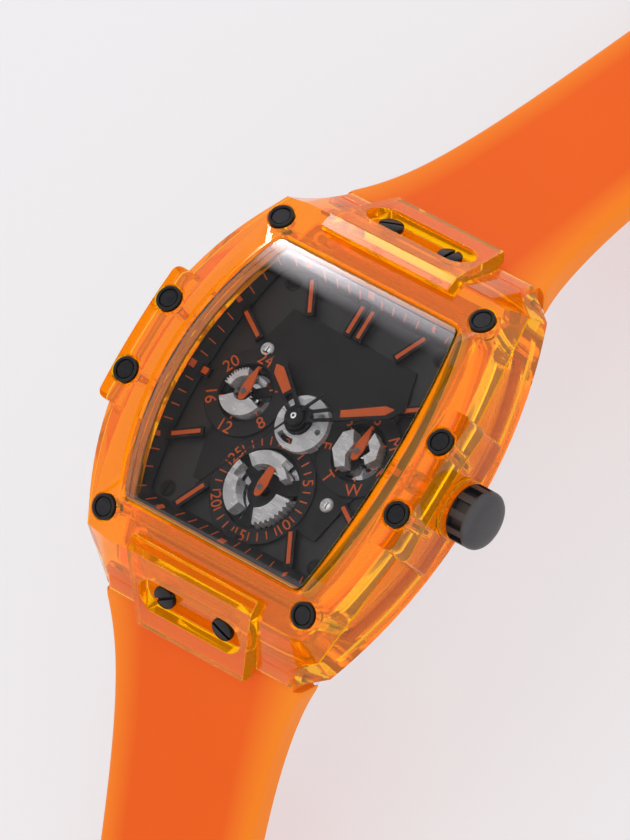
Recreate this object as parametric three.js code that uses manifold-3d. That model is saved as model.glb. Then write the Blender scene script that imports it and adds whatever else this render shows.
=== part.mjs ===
// A tonneau sport watch with a clear case, a multifunction quartz dial and a silicone strap.
// Lengths are in millimetres.
// +Z points out of the dial, +Y to 12 o'clock and +X to the crown.
// The origin is the centre of the case back's flat outer face.
// The strap lies open, so both halves run down and out to the surface that the watch stands on.
import * as THREE from "three";
import { mergeVertices } from "three/addons/utils/BufferGeometryUtils.js";
import Module from "manifold-3d";

const wasm = await Module();
wasm.setup();

// ---------------------------------------------------------------- driving dimensions

const GAP = 0.2; // clearance between pieces that meet
const RUN = 0.3; // clearance round a shaft

// An outline bowed at the sides: half width w at the middle, half length l, side radius r.
const OPENING = { w: 14.6, l: 15.7, r: 50 }; // what the bezel leaves open under the crystal
const CRYSTAL = { w: 15.3, l: 16.5, r: 50, thick: 2.0 };
const CAVITY = { w: 16.0, l: 16.3, r: 50 }; // inside of the case middle
const DIAL = { w: 15.7, l: 16.0, r: 50 };
const BACK = { w: 17.2, l: 19.5, r: 58, thick: 1.2 };

// Levels of the head's outer shape, from the back to the front. endX and endY place the cut corner.
const HEAD = [
  { z: 0.9, w: 19.2, l: 21.0, r: 58, endX: 12.0, endY: 22.6 },
  { z: 3.0, w: 21.4, l: 22.4, r: 58, endX: 12.9, endY: 25.3 },
  { z: 10.2, w: 20.6, l: 20.7, r: 44, endX: 12.9, endY: 20.8 },
  { z: 14.2, w: 20.4, l: 20.7, r: 44, endX: 12.9, endY: 20.8 },
];
const TOP = { z: 13.4, radius: 60 }; // the bezel's front is part of a cylinder about X
const PARTING_Z = 9.9; // middle of the joint between bezel and case middle, at y = 0
const CRYSTAL_SEAT_Z = 10.8;
const EAR = { halfLength: 8.3, frontX: 21.1, backX: 21.5, backZ: 5.1, footX: 20.6, footZ: 3.6 };

const EAR_SCREW = { x: 19.43, y: 4.51 };
const CORNER_SCREW = { x: 14.35, y: 18.46 };
const CAP = { radius: 1.48, proud: 0.15, depth: 0.9, dish: 0.2, shank: 0.55, length: 6.0 };
const BACK_SCREW = { x: 11.0, y: 18.2, radius: 1.0, depth: 0.6, shank: 0.5, length: 4.6 };

// Side view of the hood over the 12 o'clock strap end, as [y, z].
const HOOD_PROFILE = [
  [19.45, 11.2], [19.45, 9.35], [20.26, 9.2], [24.22, 3.89], [26.2, 2.26], [27.25, 3.05], [21.3, 10.73],
];
const HOOD_PLAN = [[9.1, 19.3], [9.0, 21.3], [7.55, 27.5]];
const HOOD_SLOPE = THREE.MathUtils.degToRad(52.6);
const RECESS = { y: 24.2, z: 6.98, halfLength: 7.3, halfWidth: 2.1, depth: 1.5 };
const HOOD_SCREW = { x: 4.18, radius: 1.4, sunk: 0.5, height: 0.8, shank: 0.55, length: 3.4 };

const SHAFT = { z: 5.75, radius: 0.4 }; // crown axis and stem
const TUBE = { inner: 0.75, outer: 1.1, from: 16.2, to: 23.3 };
const COLLAR = { inner: 1.4, outer: 3.5, from: 21.15, to: 21.65, recess: 3.8 };
const CROWN = { radius: 3.35, from: 21.9, rim: 24.7, to: 25.5, bore: 1.9, boreEnd: 23.9, notches: 10 };

const LEVEL = {
  holder: [2.2, 5.8],
  bridge: [2.3, 3.0],
  plate: [3.3, 4.7],
  wheel: [4.95, 5.5],
  dial: [6.25, 6.5],
  centrePlate: [6.6, 6.72],
  subdial: [6.82, 7.0],
  smallHand: [7.3, 7.5],
  hourHand: [8.0, 8.25],
  minuteHand: [8.6, 8.85],
  secondHand: [9.15, 9.3],
};
const PLATE_RADIUS = 14.05;
const BATTERY = { x: 5.5, y: 7.2, radius: 4.65, z: [2.3, 4.4] };
const COIL = { x: -5.2, y: -9.0, length: 7.0, radius: 0.9, z: 3.4, flange: 1.5 };
const SUBDIALS = {
  "24h": { x: -8.12, y: 0, outer: 5.0, inner: 3.3, wheel: 2.9, teeth: 24, hand: 2.6 },
  date: { x: 0, y: -8.23, outer: 6.3, inner: 4.6, wheel: 4.3, teeth: 31, hand: 4.0 },
  day: { x: 8.12, y: 0, outer: 5.0, inner: 3.3, wheel: 2.9, teeth: 21, hand: 2.6 },
};
const ARBOR = { radius: 0.35, foot: 3.6, top: 7.75 };
const SECOND_ARBOR = 0.3;
const MINUTE_PIPE = { inner: 0.55, outer: 0.8 };
const HOUR_PIPE = { inner: 1.05, outer: 1.35 };
const HOUR_WHEEL = { radius: 2.9, teeth: 24 };
const HANDS = {
  hour: { angle: 305, length: 8.1, width: 2.0 },
  minute: { angle: 61.5, length: 12.9, width: 1.9 },
  second: { angle: 208.5, length: 13.0, tail: 3.9, width: 0.35 },
};

// Hour batons: clock angle, sideways shift and distance of the inner end. They end inside the chapter ring.
const BATONS = [
  [0, -0.72, 10.4], [0, 0.72, 10.4], [30, 0, 12.1], [60, 0, 11.5], [90, 0, 13.2], [120, 0, 11.5],
  [150, 0, 12.2], [210, 0, 12.2], [240, 0, 11.5], [270, 0, 13.2], [300, 0, 11.5], [330, 0, 12.1],
];
const BATON = { width: 1.0, reach: 17.5, z: [7.15, 7.6] };
const CHAPTER = {
  foot: { w: 14.1, l: 14.0, r: 49 },
  rim: { w: 15.3, l: 15.6, r: 50 },
  z: [6.85, 7.1, 8.75],
};

const ROOT = { y: 22.9, z: 2.0, radius: 2.1, pocket: 2.4, halfWidth: 13.3, slope: 43 }; // round its bar
const BAR = { radius: 0.75, halfLength: 14.9 };
const FLOOR_Z = -33.2;
const KEEPER = { wall: 1.4, width: 5.0, halfWidth: 10.25, room: 3.6, fixed: -8.6, sliding: -18.2 };
const STRAP = {
  neck: 12, thick: 4.0, endThick: 3.0, edge: 0.8, narrow: 9.9, flare: 5.3, fade: 9.2, widest: 14.1,
};
const STRAP_12 = { slope: 36, bend: 12, flat: 20, top: FLOOR_Z + KEEPER.wall + GAP + STRAP.endThick };
const STRAP_6 = { slope: 39.3, bend: 16, flat: 52, top: FLOOR_Z + STRAP.endThick };
const HOLES = { count: 8, pitch: 6.5, fromTip: 22, radius: 1.1 };
const BUCKLE = { inner: 10.2, outer: 12.2, reach: 13.5, bar: 2.4, half: 1.5, tilt: 6.8, slot: 1.3 };
const TONGUE = { halfWidth: 0.85, ring: 1.45, height: 1.0 };

// ---------------------------------------------------------------- materials

const matt = (color, roughness, metalness = 0) =>
  new THREE.MeshStandardMaterial({ color, roughness, metalness });
const clear = (color, roughness, opacity) =>
  new THREE.MeshStandardMaterial({ color, roughness, opacity, transparent: true });

const clearOrange = clear(0xf58a1e, 0.08, 0.6);
const glass = clear(0xdfe6ea, 0.02, 0.3);
const silicone = matt(0xea642a, 0.6);
const blackMetal = matt(0x2a2829, 0.35, 0.8);
const dialBlack = matt(0x323134, 0.55, 0.3);
const lume = matt(0xe2601f, 0.6);
const steel = matt(0xc9c9cc, 0.3, 1.0);
const rubber = matt(0x161616, 0.8);
const moulding = matt(0xd9761c, 0.6);
const copper = matt(0xb86b35, 0.4, 1.0);

// ---------------------------------------------------------------- solids and booleans

function toSolid(geometry) {
  const loose = geometry.index ? geometry.toNonIndexed() : geometry;
  const bare = new THREE.BufferGeometry().setAttribute("position", loose.getAttribute("position"));
  const merged = mergeVertices(bare, 1e-4);
  const vertProperties = merged.getAttribute("position").array;
  const triVerts = new Uint32Array(merged.index.array);
  return new wasm.Manifold(new wasm.Mesh({ numProp: 3, vertProperties, triVerts }));
}

function toGeometry(solid) {
  const { vertProperties, triVerts } = solid.getMesh();
  return new THREE.BufferGeometry()
    .setAttribute("position", new THREE.BufferAttribute(new Float32Array(vertProperties), 3))
    .setIndex(new THREE.BufferAttribute(new Uint32Array(triVerts), 1));
}

function combine([first, ...rest], operation) {
  let solid = toSolid(first);
  for (const other of rest) solid = solid[operation](toSolid(other));
  return toGeometry(solid);
}

const join = (...pieces) => combine(pieces, "add");
const cut = (...pieces) => combine(pieces, "subtract");
const common = (...pieces) => combine(pieces, "intersect");

const points = (list) => list.map(([x, y]) => new THREE.Vector2(x, y));
const grow = (outline, by) => ({ ...outline, w: outline.w + by, l: outline.l + by });

function prism(outline, [bottom, top]) {
  const settings = { depth: top - bottom, bevelEnabled: false };
  return new THREE.ExtrudeGeometry(new THREE.Shape(outline), settings).translate(0, 0, bottom);
}

// A profile given as [y, z], run across the watch along X.
function crosswise(profile, from, to) {
  const settings = { depth: to - from, bevelEnabled: false };
  const axes = new THREE.Matrix4().makeBasis(
    new THREE.Vector3(0, 1, 0),
    new THREE.Vector3(0, 0, 1),
    new THREE.Vector3(1, 0, 0),
  );
  const run = new THREE.ExtrudeGeometry(new THREE.Shape(points(profile)), settings);
  return run.applyMatrix4(axes).translate(from, 0, 0);
}

function block([x0, x1], [y0, y1], [z0, z1]) {
  const solid = new THREE.BoxGeometry(x1 - x0, y1 - y0, z1 - z0);
  return solid.translate((x0 + x1) / 2, (y0 + y1) / 2, (z0 + z1) / 2);
}

function disc(radius, [bottom, top], x = 0, y = 0, sides = 24) {
  const drum = new THREE.CylinderGeometry(radius, radius, top - bottom, sides);
  return drum.rotateX(Math.PI / 2).translate(x, y, (bottom + top) / 2);
}

function rodX(radius, [from, to], y, z, sides = 16) {
  const rod = new THREE.CylinderGeometry(radius, radius, to - from, sides);
  return rod.rotateZ(Math.PI / 2).translate((from + to) / 2, y, z);
}

// A profile of [radius, height], turned about +Z.
function turned(profile, sides = 24) {
  return new THREE.LatheGeometry(points(profile), sides).rotateX(Math.PI / 2);
}

// A skin over rings of points with the same count, with flat ends. Each ring is convex.
function loft(rings) {
  const count = rings[0].length;
  const faces = [];
  for (let r = 0; r < rings.length - 1; r += 1) {
    for (let i = 0; i < count; i += 1) {
      const a = r * count + i;
      const b = r * count + ((i + 1) % count);
      faces.push(a, b, a + count, b, b + count, a + count);
    }
  }
  const last = (rings.length - 1) * count;
  for (let i = 1; i < count - 1; i += 1) {
    faces.push(0, i + 1, i, last, last + i, last + i + 1);
  }
  return new THREE.BufferGeometry().setFromPoints(rings.flat()).setIndex(faces);
}

function tonneau({ w, l, r }, steps = 6) {
  const side = [];
  for (let i = 0; i <= steps; i += 1) {
    const y = l * ((2 * i) / steps - 1);
    side.push(new THREE.Vector2(w - r + Math.sqrt(r * r - y * y), y));
  }
  return [...side, ...side.map((p) => p.clone().negate())];
}

// Everything under the cylinder about X whose crown is at z.
function underArc(z) {
  const profile = [[-30, -10]];
  for (let y = 30; y >= -30; y -= 3.75) {
    profile.push([y, z - TOP.radius + Math.sqrt(TOP.radius ** 2 - y * y)]);
  }
  profile.splice(1, 0, [30, -10]);
  return crosswise(profile, -30, 30);
}

function gear(radius, teeth, level, x, y) {
  const outline = [];
  for (let i = 0; i < teeth * 2; i += 1) {
    const angle = (i * Math.PI) / teeth;
    const reach = i % 2 ? radius - 0.3 : radius;
    outline.push(new THREE.Vector2(x + reach * Math.cos(angle), y + reach * Math.sin(angle)));
  }
  return prism(outline, level);
}

// ---------------------------------------------------------------- head: bezel, case, crystal, back

function headRing({ z, w, l, r, endX, endY }) {
  const side = tonneau({ w, l, r }).slice(0, 7);
  const half = [...side, new THREE.Vector2(endX, endY), new THREE.Vector2(-endX, endY)];
  const other = side.map((p) => p.clone().negate());
  const end = [new THREE.Vector2(-endX, -endY), new THREE.Vector2(endX, -endY)];
  return [...half, ...other, ...end].map((p) => new THREE.Vector3(p.x, p.y, z));
}

function ears() {
  const { halfLength, frontX, backX, backZ, footX, footZ } = EAR;
  const outline = [
    [-footX, footZ], [footX, footZ], [backX, backZ], [frontX, 14.2], [-frontX, 14.2], [-backX, backZ],
  ];
  return prism(points(outline), [-halfLength, halfLength]).rotateX(Math.PI / 2);
}

const bezelScrewPlaces = [EAR_SCREW, CORNER_SCREW].flatMap(({ x, y }) => [
  [x, y], [-x, y], [-x, -y], [x, -y],
]);

// Puts a piece that is built along +Z, with its origin on the bezel's front, at x, y.
function onFront(target, [x, y]) {
  const tilt = Math.asin(y / TOP.radius);
  const height = TOP.z - TOP.radius * (1 - Math.cos(tilt));
  return target.rotateX(-tilt).translate(x, y, height);
}

function bezelScrewHole(place) {
  const head = disc(CAP.radius + GAP, [-CAP.depth - GAP, 3], 0, 0, 16);
  const shank = disc(CAP.shank + RUN, [-CAP.length - GAP, 0], 0, 0, 8);
  return onFront(join(head, shank), place);
}

// Puts a piece that is built along +Z on the hood's slope, at the 12 o'clock end.
const onSlope = (target, x) => target.rotateX(-HOOD_SLOPE).translate(x, RECESS.y, RECESS.z);

function hoodBlank(extra) {
  const right = HOOD_PLAN.map(([x, y]) => [x + extra, y]);
  const left = HOOD_PLAN.map(([x, y]) => [-x - extra, y]).reverse();
  const plan = prism(points([...right, ...left]), [0, 13]);
  return common(crosswise([...HOOD_PROFILE].reverse(), -12, 12), plan);
}

function recessTool() {
  const { halfLength, halfWidth, depth } = RECESS;
  const shape = [];
  for (let i = 0; i <= 16; i += 1) {
    const angle = ((i % 17) / 8) * Math.PI - Math.PI / 2;
    const centre = i < 9 ? halfLength - halfWidth : halfWidth - halfLength;
    const turn = i < 9 ? angle : angle - Math.PI / 8;
    shape.push(new THREE.Vector2(centre + halfWidth * Math.cos(turn), halfWidth * Math.sin(turn)));
  }
  return onSlope(prism(shape, [-depth, 3]), 0);
}

function hoodScrewHole(x) {
  return onSlope(disc(HOOD_SCREW.shank + RUN, [-HOOD_SCREW.length - 1.8, 3], 0, 0, 12), x);
}

const bothEnds = (tools) => tools.flatMap((tool) => [tool, tool.clone().rotateZ(Math.PI)]);

function headSolid() {
  const hoodRoom = [hoodBlank(GAP), hoodBlank(GAP).translate(0, -GAP * 0.8, -GAP * 0.6)];
  const shanks = [-1, 1].map((side) => hoodScrewHole(side * HOOD_SCREW.x));
  const blank = join(loft(HEAD.map(headRing)), ears());
  const holes = bezelScrewPlaces.map(bezelScrewHole);
  return cut(common(blank, underArc(TOP.z)), ...bothEnds([...hoodRoom, ...shanks]), ...holes);
}

function bezel(head) {
  const window = prism(tonneau(OPENING), [0, 20]);
  const seat = cut(prism(tonneau(grow(CRYSTAL, GAP)), [0, 20]), underArc(CRYSTAL_SEAT_Z));
  return cut(head, underArc(PARTING_Z + GAP / 2), window, seat);
}

function strapPocket() {
  const sides = [-ROOT.halfWidth - RUN, ROOT.halfWidth + RUN];
  const round = rodX(ROOT.pocket, sides, ROOT.y, ROOT.z, 24);
  const below = block(sides, [ROOT.y - ROOT.pocket, 32], [-6, ROOT.z]);
  const barHole = rodX(BAR.radius + RUN, [-BAR.halfLength - GAP, BAR.halfLength + GAP], ROOT.y, ROOT.z);
  return join(round, below, barHole);
}

function backScrewHole([x, y]) {
  return disc(BACK_SCREW.shank + RUN, [-1, BACK_SCREW.length + GAP], x, y, 12);
}

const backScrewPlaces = [[1, 1], [-1, 1], [-1, -1], [1, -1]].map(([sx, sy]) => [
  sx * BACK_SCREW.x, sy * BACK_SCREW.y,
]);
const gasketOuter = grow(CAVITY, 0.6);
const gasketInner = grow(CAVITY, 0.1);

function caseMiddle(head) {
  const backRoom = prism(tonneau(grow(BACK, GAP)), [-1, BACK.thick + GAP]);
  const gasketRoom = prism(tonneau(grow(gasketOuter, GAP)), [0, 2.2]);
  const crownRoom = rodX(COLLAR.recess, [21.0, 30], 0, SHAFT.z, 32);
  const tubeRoom = rodX(TUBE.outer + GAP, [10, 25], 0, SHAFT.z);
  return cut(
    common(head, underArc(PARTING_Z - GAP / 2)),
    prism(tonneau(CAVITY), [-1, 20]),
    backRoom,
    gasketRoom,
    crownRoom,
    tubeRoom,
    ...bothEnds([strapPocket()]),
    ...backScrewPlaces.map(backScrewHole),
  );
}

function caseBack() {
  const { radius, depth } = BACK_SCREW;
  const heads = backScrewPlaces.map(([x, y]) => disc(radius + GAP, [-1, depth + GAP], x, y, 16));
  return cut(prism(tonneau(BACK), [0, BACK.thick]), ...heads, ...backScrewPlaces.map(backScrewHole));
}

function ringBetween(outer, inner, [bottom, top]) {
  return cut(prism(tonneau(outer), [bottom, top]), prism(tonneau(inner), [bottom - 1, top + 1]));
}

function arcPlate(outline, z, thick) {
  return cut(common(prism(tonneau(outline), [0, 20]), underArc(z)), underArc(z - thick));
}

function crystalGasket() {
  return cut(arcPlate(CRYSTAL, CRYSTAL_SEAT_Z + 0.35, 0.25), prism(tonneau(grow(OPENING, 0.1)), [0, 20]));
}

// ---------------------------------------------------------------- screws

function dishedScrew() {
  const { radius, proud, depth, dish, shank, length } = CAP;
  return turned([
    [0, -length], [shank, -length], [shank, -depth], [radius, -depth], [radius, proud],
    [radius - 0.35, proud], [radius - 0.5, proud - dish], [0, proud - dish],
  ], 16);
}

function slottedScrew({ radius, height, shank, length }) {
  const body = turned([
    [0, -height - length], [shank, -height - length], [shank, -height],
    [radius, -height], [radius, 0], [0, 0],
  ], 16);
  return cut(body, block([-radius - 1, radius + 1], [-0.2, 0.2], [-0.35, 1]));
}

function backScrew() {
  const { radius, depth, shank, length } = BACK_SCREW;
  return turned([
    [0, 0.05], [radius, 0.05], [radius, depth], [shank, depth], [shank, length], [0, length],
  ], 12);
}

// ---------------------------------------------------------------- crown and setting works

function crownSolid() {
  const { radius, from, rim, to, bore, boreEnd, notches } = CROWN;
  const body = turned([
    [0, from], [radius, from], [radius, rim], [radius - 0.5, to - 0.2], [1.6, to], [0, to],
  ], 30).rotateY(Math.PI / 2);
  const teeth = [];
  for (let i = 0; i < notches; i += 1) {
    const notch = block([from + 0.5, rim - 0.3], [-0.5, 0.5], [radius - 0.45, radius + 1]);
    teeth.push(notch.rotateX((i * 2 * Math.PI) / notches));
  }
  const stemRoom = rodX(SHAFT.radius + GAP, [from, to - 0.6], 0, 0);
  return cut(body, rodX(bore, [from - 1, boreEnd], 0, 0), stemRoom, ...teeth);
}

function pipeX(inner, outer, [from, to], sides = 20) {
  return cut(rodX(outer, [from, to], 0, 0, sides), rodX(inner, [from - 1, to + 1], 0, 0, sides));
}

const LEVER = { from: 12.2, to: 12.8, halfWidth: 1.4, bottom: 4.95, top: 6.1 };

function windingStem() {
  const groove = pipeX(0.18, 1, [LEVER.from - GAP / 2, LEVER.to + GAP / 2]);
  return cut(rodX(SHAFT.radius, [11.7, CROWN.to - 0.8], 0, 0), groove);
}

function settingLever() {
  const { from, to, halfWidth, bottom, top } = LEVER;
  const slot = block([from - 1, to + 1], [-0.4, 0.4], [SHAFT.z - 0.4, top + 1]);
  return cut(block([from, to], [-halfWidth, halfWidth], [bottom, top]), slot);
}

// ---------------------------------------------------------------- movement

const subdialList = Object.entries(SUBDIALS);
const arborHoles = () => subdialList.map(([, s]) => disc(ARBOR.radius + RUN, [0, 20], s.x, s.y, 12));
const batteryRoom = () => disc(BATTERY.radius + GAP, [0, 20], BATTERY.x, BATTERY.y);
const coilRoom = () => {
  const reach = COIL.length / 2 + GAP;
  const side = COIL.flange + GAP;
  return block([COIL.x - reach, COIL.x + reach], [COIL.y - side, COIL.y + side], [0, 20]);
};

function movementHolder() {
  const stemSlot = block([13, 18], [-1.8, 1.8], [LEVER.bottom - GAP, 8]);
  const blank = prism(tonneau(grow(CAVITY, -GAP)), LEVEL.holder);
  return cut(blank, disc(PLATE_RADIUS + GAP, [0, 20], 0, 0, 32), stemSlot);
}

function movementPlate() {
  const centre = disc(SECOND_ARBOR + RUN, [0, 20], 0, 0, 12);
  return cut(disc(PLATE_RADIUS, LEVEL.plate, 0, 0, 32), batteryRoom(), coilRoom(), centre, ...arborHoles());
}

function movementBridge() {
  return cut(disc(PLATE_RADIUS - 0.5, LEVEL.bridge, 0, 0, 32), batteryRoom(), coilRoom());
}

function stepperCoil() {
  const { x, y, length, radius, z, flange } = COIL;
  const ends = [-1, 1].map((side) => {
    const middle = x + side * (length / 2 - 0.5);
    return block([middle - 0.5, middle + 0.5], [y - flange, y + flange], [z - 1.0, z + 1.0]);
  });
  return join(rodX(radius, [x - length / 2 + 0.4, x + length / 2 - 0.4], y, z, 12), ...ends);
}

function smallWheel({ x, y, wheel, teeth }) {
  const spokes = [0, 1, 2].map((i) => {
    const angle = (i * 2 * Math.PI) / 3 + 0.5;
    const middle = wheel * 0.55;
    return disc(wheel * 0.25, [0, 20], x + middle * Math.cos(angle), y + middle * Math.sin(angle), 12);
  });
  const rim = cut(gear(wheel, teeth, LEVEL.wheel, x, y), ...spokes);
  return join(rim, disc(ARBOR.radius, [ARBOR.foot, ARBOR.top], x, y, 12));
}

// ---------------------------------------------------------------- dial side

function dialPlate() {
  const openings = subdialList.map(([, s]) => disc(s.inner, [0, 20], s.x, s.y, 24));
  return cut(prism(tonneau(DIAL), LEVEL.dial), disc(HOUR_PIPE.outer + RUN, [0, 20]), ...openings);
}

function centrePlate() {
  const half = [[8.8, 10.4], [13.0, 5.2], [13.0, -5.2], [8.6, -11.0]];
  const outline = [...half, ...half.map(([x, y]) => [-x, y]).reverse()].reverse();
  const openings = subdialList.map(([, s]) => disc(s.inner, [0, 20], s.x, s.y, 24));
  return cut(prism(points(outline), LEVEL.centrePlate), disc(HOUR_PIPE.outer + RUN, [0, 20]), ...openings);
}

function subdial({ x, y, outer, inner }) {
  const hub = disc(1.1, LEVEL.subdial, x, y, 20);
  const spokes = [0, 1, 2].map((i) => {
    const spoke = block([0, inner + 0.3], [-0.5, 0.5], LEVEL.subdial);
    return spoke.rotateZ((i * 2 * Math.PI) / 3 - Math.PI / 2).translate(x, y, 0);
  });
  const ring = cut(disc(outer, LEVEL.subdial, x, y, 32), disc(inner, [0, 20], x, y, 24));
  return cut(join(ring, hub, ...spokes), disc(ARBOR.radius + RUN, [0, 20], x, y, 12));
}

function chapterRing() {
  const [bottom, sill, top] = CHAPTER.z;
  const outer = prism(tonneau(grow(CAVITY, -GAP)), [bottom, top]);
  const level = (outline, z) => tonneau(outline).map((p) => new THREE.Vector3(p.x, p.y, z));
  const foot = [bottom - 1, sill].map((z) => level(CHAPTER.foot, z));
  const bowl = loft([...foot, level(CHAPTER.rim, top + 0.01)]);
  const batons = BATONS.map(([angle, shift, inner]) => {
    const sides = [shift - BATON.width / 2, shift + BATON.width / 2];
    return aim(block(sides, [inner, BATON.reach], BATON.z), angle);
  });
  const inside = prism(tonneau(grow(CAVITY, -GAP)), [0, 20]);
  const { x, y, outer: dateRadius } = SUBDIALS.date;
  const dateRoom = disc(dateRadius + GAP, [0, LEVEL.subdial[1] + GAP], x, y, 40);
  return common(join(cut(outer, bowl, dateRoom), ...batons), inside, underArc(PARTING_Z - GAP));
}

// ---------------------------------------------------------------- hands

// A hand that points along +Y from its hub: half widths at the hub, the widest point and the tip.
function pointer({ length, width }, level, tail = 0) {
  const half = [
    [0.3, -tail], [0.45, 0], [width / 2, length * 0.35], [width / 2, length * 0.82], [0.12, length],
  ];
  const outline = [...half, ...half.map(([x, y]) => [-x, y]).reverse()];
  return prism(points(outline), level);
}

const radians = THREE.MathUtils.degToRad;
const aim = (geometry, degrees) => geometry.rotateZ(-radians(degrees));

function pipeHand(spec, level, pipe, hubRadius) {
  const side = spec.width / 2 - 0.45;
  const window = block([-side, side], [spec.length * 0.3, spec.length * 0.42], [0, 20]);
  const tube = disc(pipe.outer, [LEVEL.wheel[0], level[1]]);
  const body = join(cut(pointer(spec, level), window), disc(hubRadius, level), tube);
  return aim(cut(body, disc(pipe.inner, [0, 20])), spec.angle);
}

function secondHand() {
  const { angle, length, tail, width } = HANDS.second;
  const needle = block([-width / 2, width / 2], [-tail, length], LEVEL.secondHand);
  const arbor = disc(SECOND_ARBOR, [ARBOR.foot, LEVEL.secondHand[1]], 0, 0, 12);
  return aim(join(needle, disc(0.9, LEVEL.secondHand), arbor), angle);
}

function smallHand({ x, y, hand }) {
  const level = LEVEL.smallHand;
  const outline = [
    [0, -1.3], [0.55, -0.5], [0.55, hand * 0.55], [0, hand], [-0.55, hand * 0.55], [-0.55, -0.5],
  ];
  const body = join(prism(points(outline), level), disc(0.9, level, 0, 0, 16));
  return cut(body, disc(ARBOR.radius + GAP, [0, 20], 0, 0, 12)).translate(x, y, 0);
}

function hourWheel() {
  const wheel = gear(HOUR_WHEEL.radius, HOUR_WHEEL.teeth, LEVEL.wheel, 0, 0);
  return cut(wheel, disc(HOUR_PIPE.outer + GAP, [0, 20]));
}

// ---------------------------------------------------------------- strap, built towards +Y

const rootTop = {
  y: ROOT.y + ROOT.radius * Math.sin(radians(ROOT.slope)),
  z: ROOT.z + ROOT.radius * Math.cos(radians(ROOT.slope)),
};

// One leg of the strap's side view: its slope below level changes evenly from one end to the other.
function legSteps({ length, from, to, steps }) {
  const list = [];
  for (let i = 0; i < steps; i += 1) {
    const middle = radians(from + (to - from) * ((i + 0.5) / steps));
    list.push({ s: length / steps, middle, slope: from + (to - from) * ((i + 1) / steps) });
  }
  return list;
}

const dropOf = (leg) => legSteps(leg).reduce((sum, step) => sum + step.s * Math.sin(step.middle), 0);

// Points along the strap's top surface, from the root to the far end.
function strapStations({ slope, bend, flat, top }) {
  const neck = { length: STRAP.neck, from: ROOT.slope, to: slope, steps: 5 };
  const curve = { length: bend, from: slope, to: 0, steps: 5 };
  const straight = (rootTop.z - top - dropOf(neck) - dropOf(curve)) / Math.sin(radians(slope));
  const slant = { length: straight, from: slope, to: slope, steps: 3 };
  const legs = [neck, slant, curve, { length: flat, from: 0, to: 0, steps: 4 }];
  const stations = [{ s: 0, ...rootTop, slope: ROOT.slope }];
  for (const step of legs.flatMap(legSteps)) {
    const last = stations.at(-1);
    const y = last.y + step.s * Math.cos(step.middle);
    const z = last.z - step.s * Math.sin(step.middle);
    stations.push({ s: last.s + step.s, y, z, slope: step.slope });
  }
  return stations;
}

function strapWidth(s) {
  return Math.min(STRAP.widest, STRAP.narrow + STRAP.flare * Math.exp(-s / STRAP.fade));
}

function strapRing({ s, y, z, slope }, total, taper = 1) {
  const w = strapWidth(s) * taper;
  const t = THREE.MathUtils.lerp(STRAP.thick, STRAP.endThick, Math.min(1, s / (total / 2)));
  const e = STRAP.edge;
  const right = [[w - e, 0], [w, -e], [w, -t + e], [w - e, -t]];
  const corners = [...right, ...right.map(([x, n]) => [-x, n]).reverse()];
  const lean = radians(slope);
  return corners.map(([x, n]) => new THREE.Vector3(x, y + n * Math.sin(lean), z + n * Math.cos(lean)));
}

function strapRoot() {
  const lean = radians(ROOT.slope);
  const along = [Math.cos(lean) * 2.4, -Math.sin(lean) * 2.4];
  const deep = [-Math.sin(lean) * 4.0, -Math.cos(lean) * 4.0];
  const top = [rootTop.y + along[0], rootTop.z + along[1]];
  const web = [
    [rootTop.y, rootTop.z],
    [ROOT.y * 2 - rootTop.y, ROOT.z * 2 - rootTop.z],
    [top[0] + deep[0], top[1] + deep[1]],
    top,
  ];
  const round = rodX(ROOT.radius, [-ROOT.halfWidth, ROOT.halfWidth], ROOT.y, ROOT.z, 24);
  return join(round, crosswise(web, -ROOT.halfWidth, ROOT.halfWidth));
}

function strapBlank(spec, tip) {
  const stations = strapStations(spec);
  const total = stations.at(-1).s;
  const body = stations.filter(({ s }) => s > 2);
  const start = {
    s: 1.8,
    y: rootTop.y + 1.8 * Math.cos(radians(ROOT.slope)),
    z: rootTop.z - 1.8 * Math.sin(radians(ROOT.slope)),
    slope: ROOT.slope,
  };
  const rings = [start, ...body].map((station) => strapRing(station, total));
  const end = stations.at(-1);
  for (const [reach, taper] of tip) {
    rings.push(strapRing({ ...end, y: end.y + reach }, total, taper));
  }
  const bore = rodX(BAR.radius + RUN, [-20, 20], ROOT.y, ROOT.z);
  return { solid: cut(join(strapRoot(), loft(rings)), bore), end };
}

function strapTwelve() {
  const { solid, end } = strapBlank(STRAP_12, []);
  const axisZ = end.z - STRAP.endThick / 2;
  const loop = rodX(STRAP.endThick / 2, [-STRAP.narrow, STRAP.narrow], end.y, axisZ);
  const bore = rodX(BAR.radius + GAP, [-20, 20], end.y, axisZ);
  const slot = block([-BUCKLE.slot, BUCKLE.slot], [end.y - 3, end.y + 5], [axisZ - 5, axisZ + 5]);
  return { solid: cut(join(solid, loop), bore, slot), end: { y: end.y, z: axisZ } };
}

function strapSix() {
  const { solid, end } = strapBlank(STRAP_6, [[3, 0.93], [5.5, 0.75], [7, 0.5]]);
  const holes = [];
  for (let i = 0; i < HOLES.count; i += 1) {
    const y = end.y - HOLES.fromTip + 7 - i * HOLES.pitch;
    holes.push(disc(HOLES.radius, [end.z - 6, end.z + 3], 0, y, 12));
  }
  return cut(solid, ...holes);
}

function keeper(at, { y, z }) {
  const { wall, width, halfWidth, room } = KEEPER;
  const bottom = z - STRAP.endThick / 2 - GAP;
  const top = z + STRAP.endThick / 2 + room;
  const reach = halfWidth + wall;
  const outer = block([-reach, reach], [y + at, y + at + width], [bottom - wall, top + wall]);
  return cut(outer, block([-halfWidth, halfWidth], [y + at - 1, y + at + width + 1], [bottom, top]));
}

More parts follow.
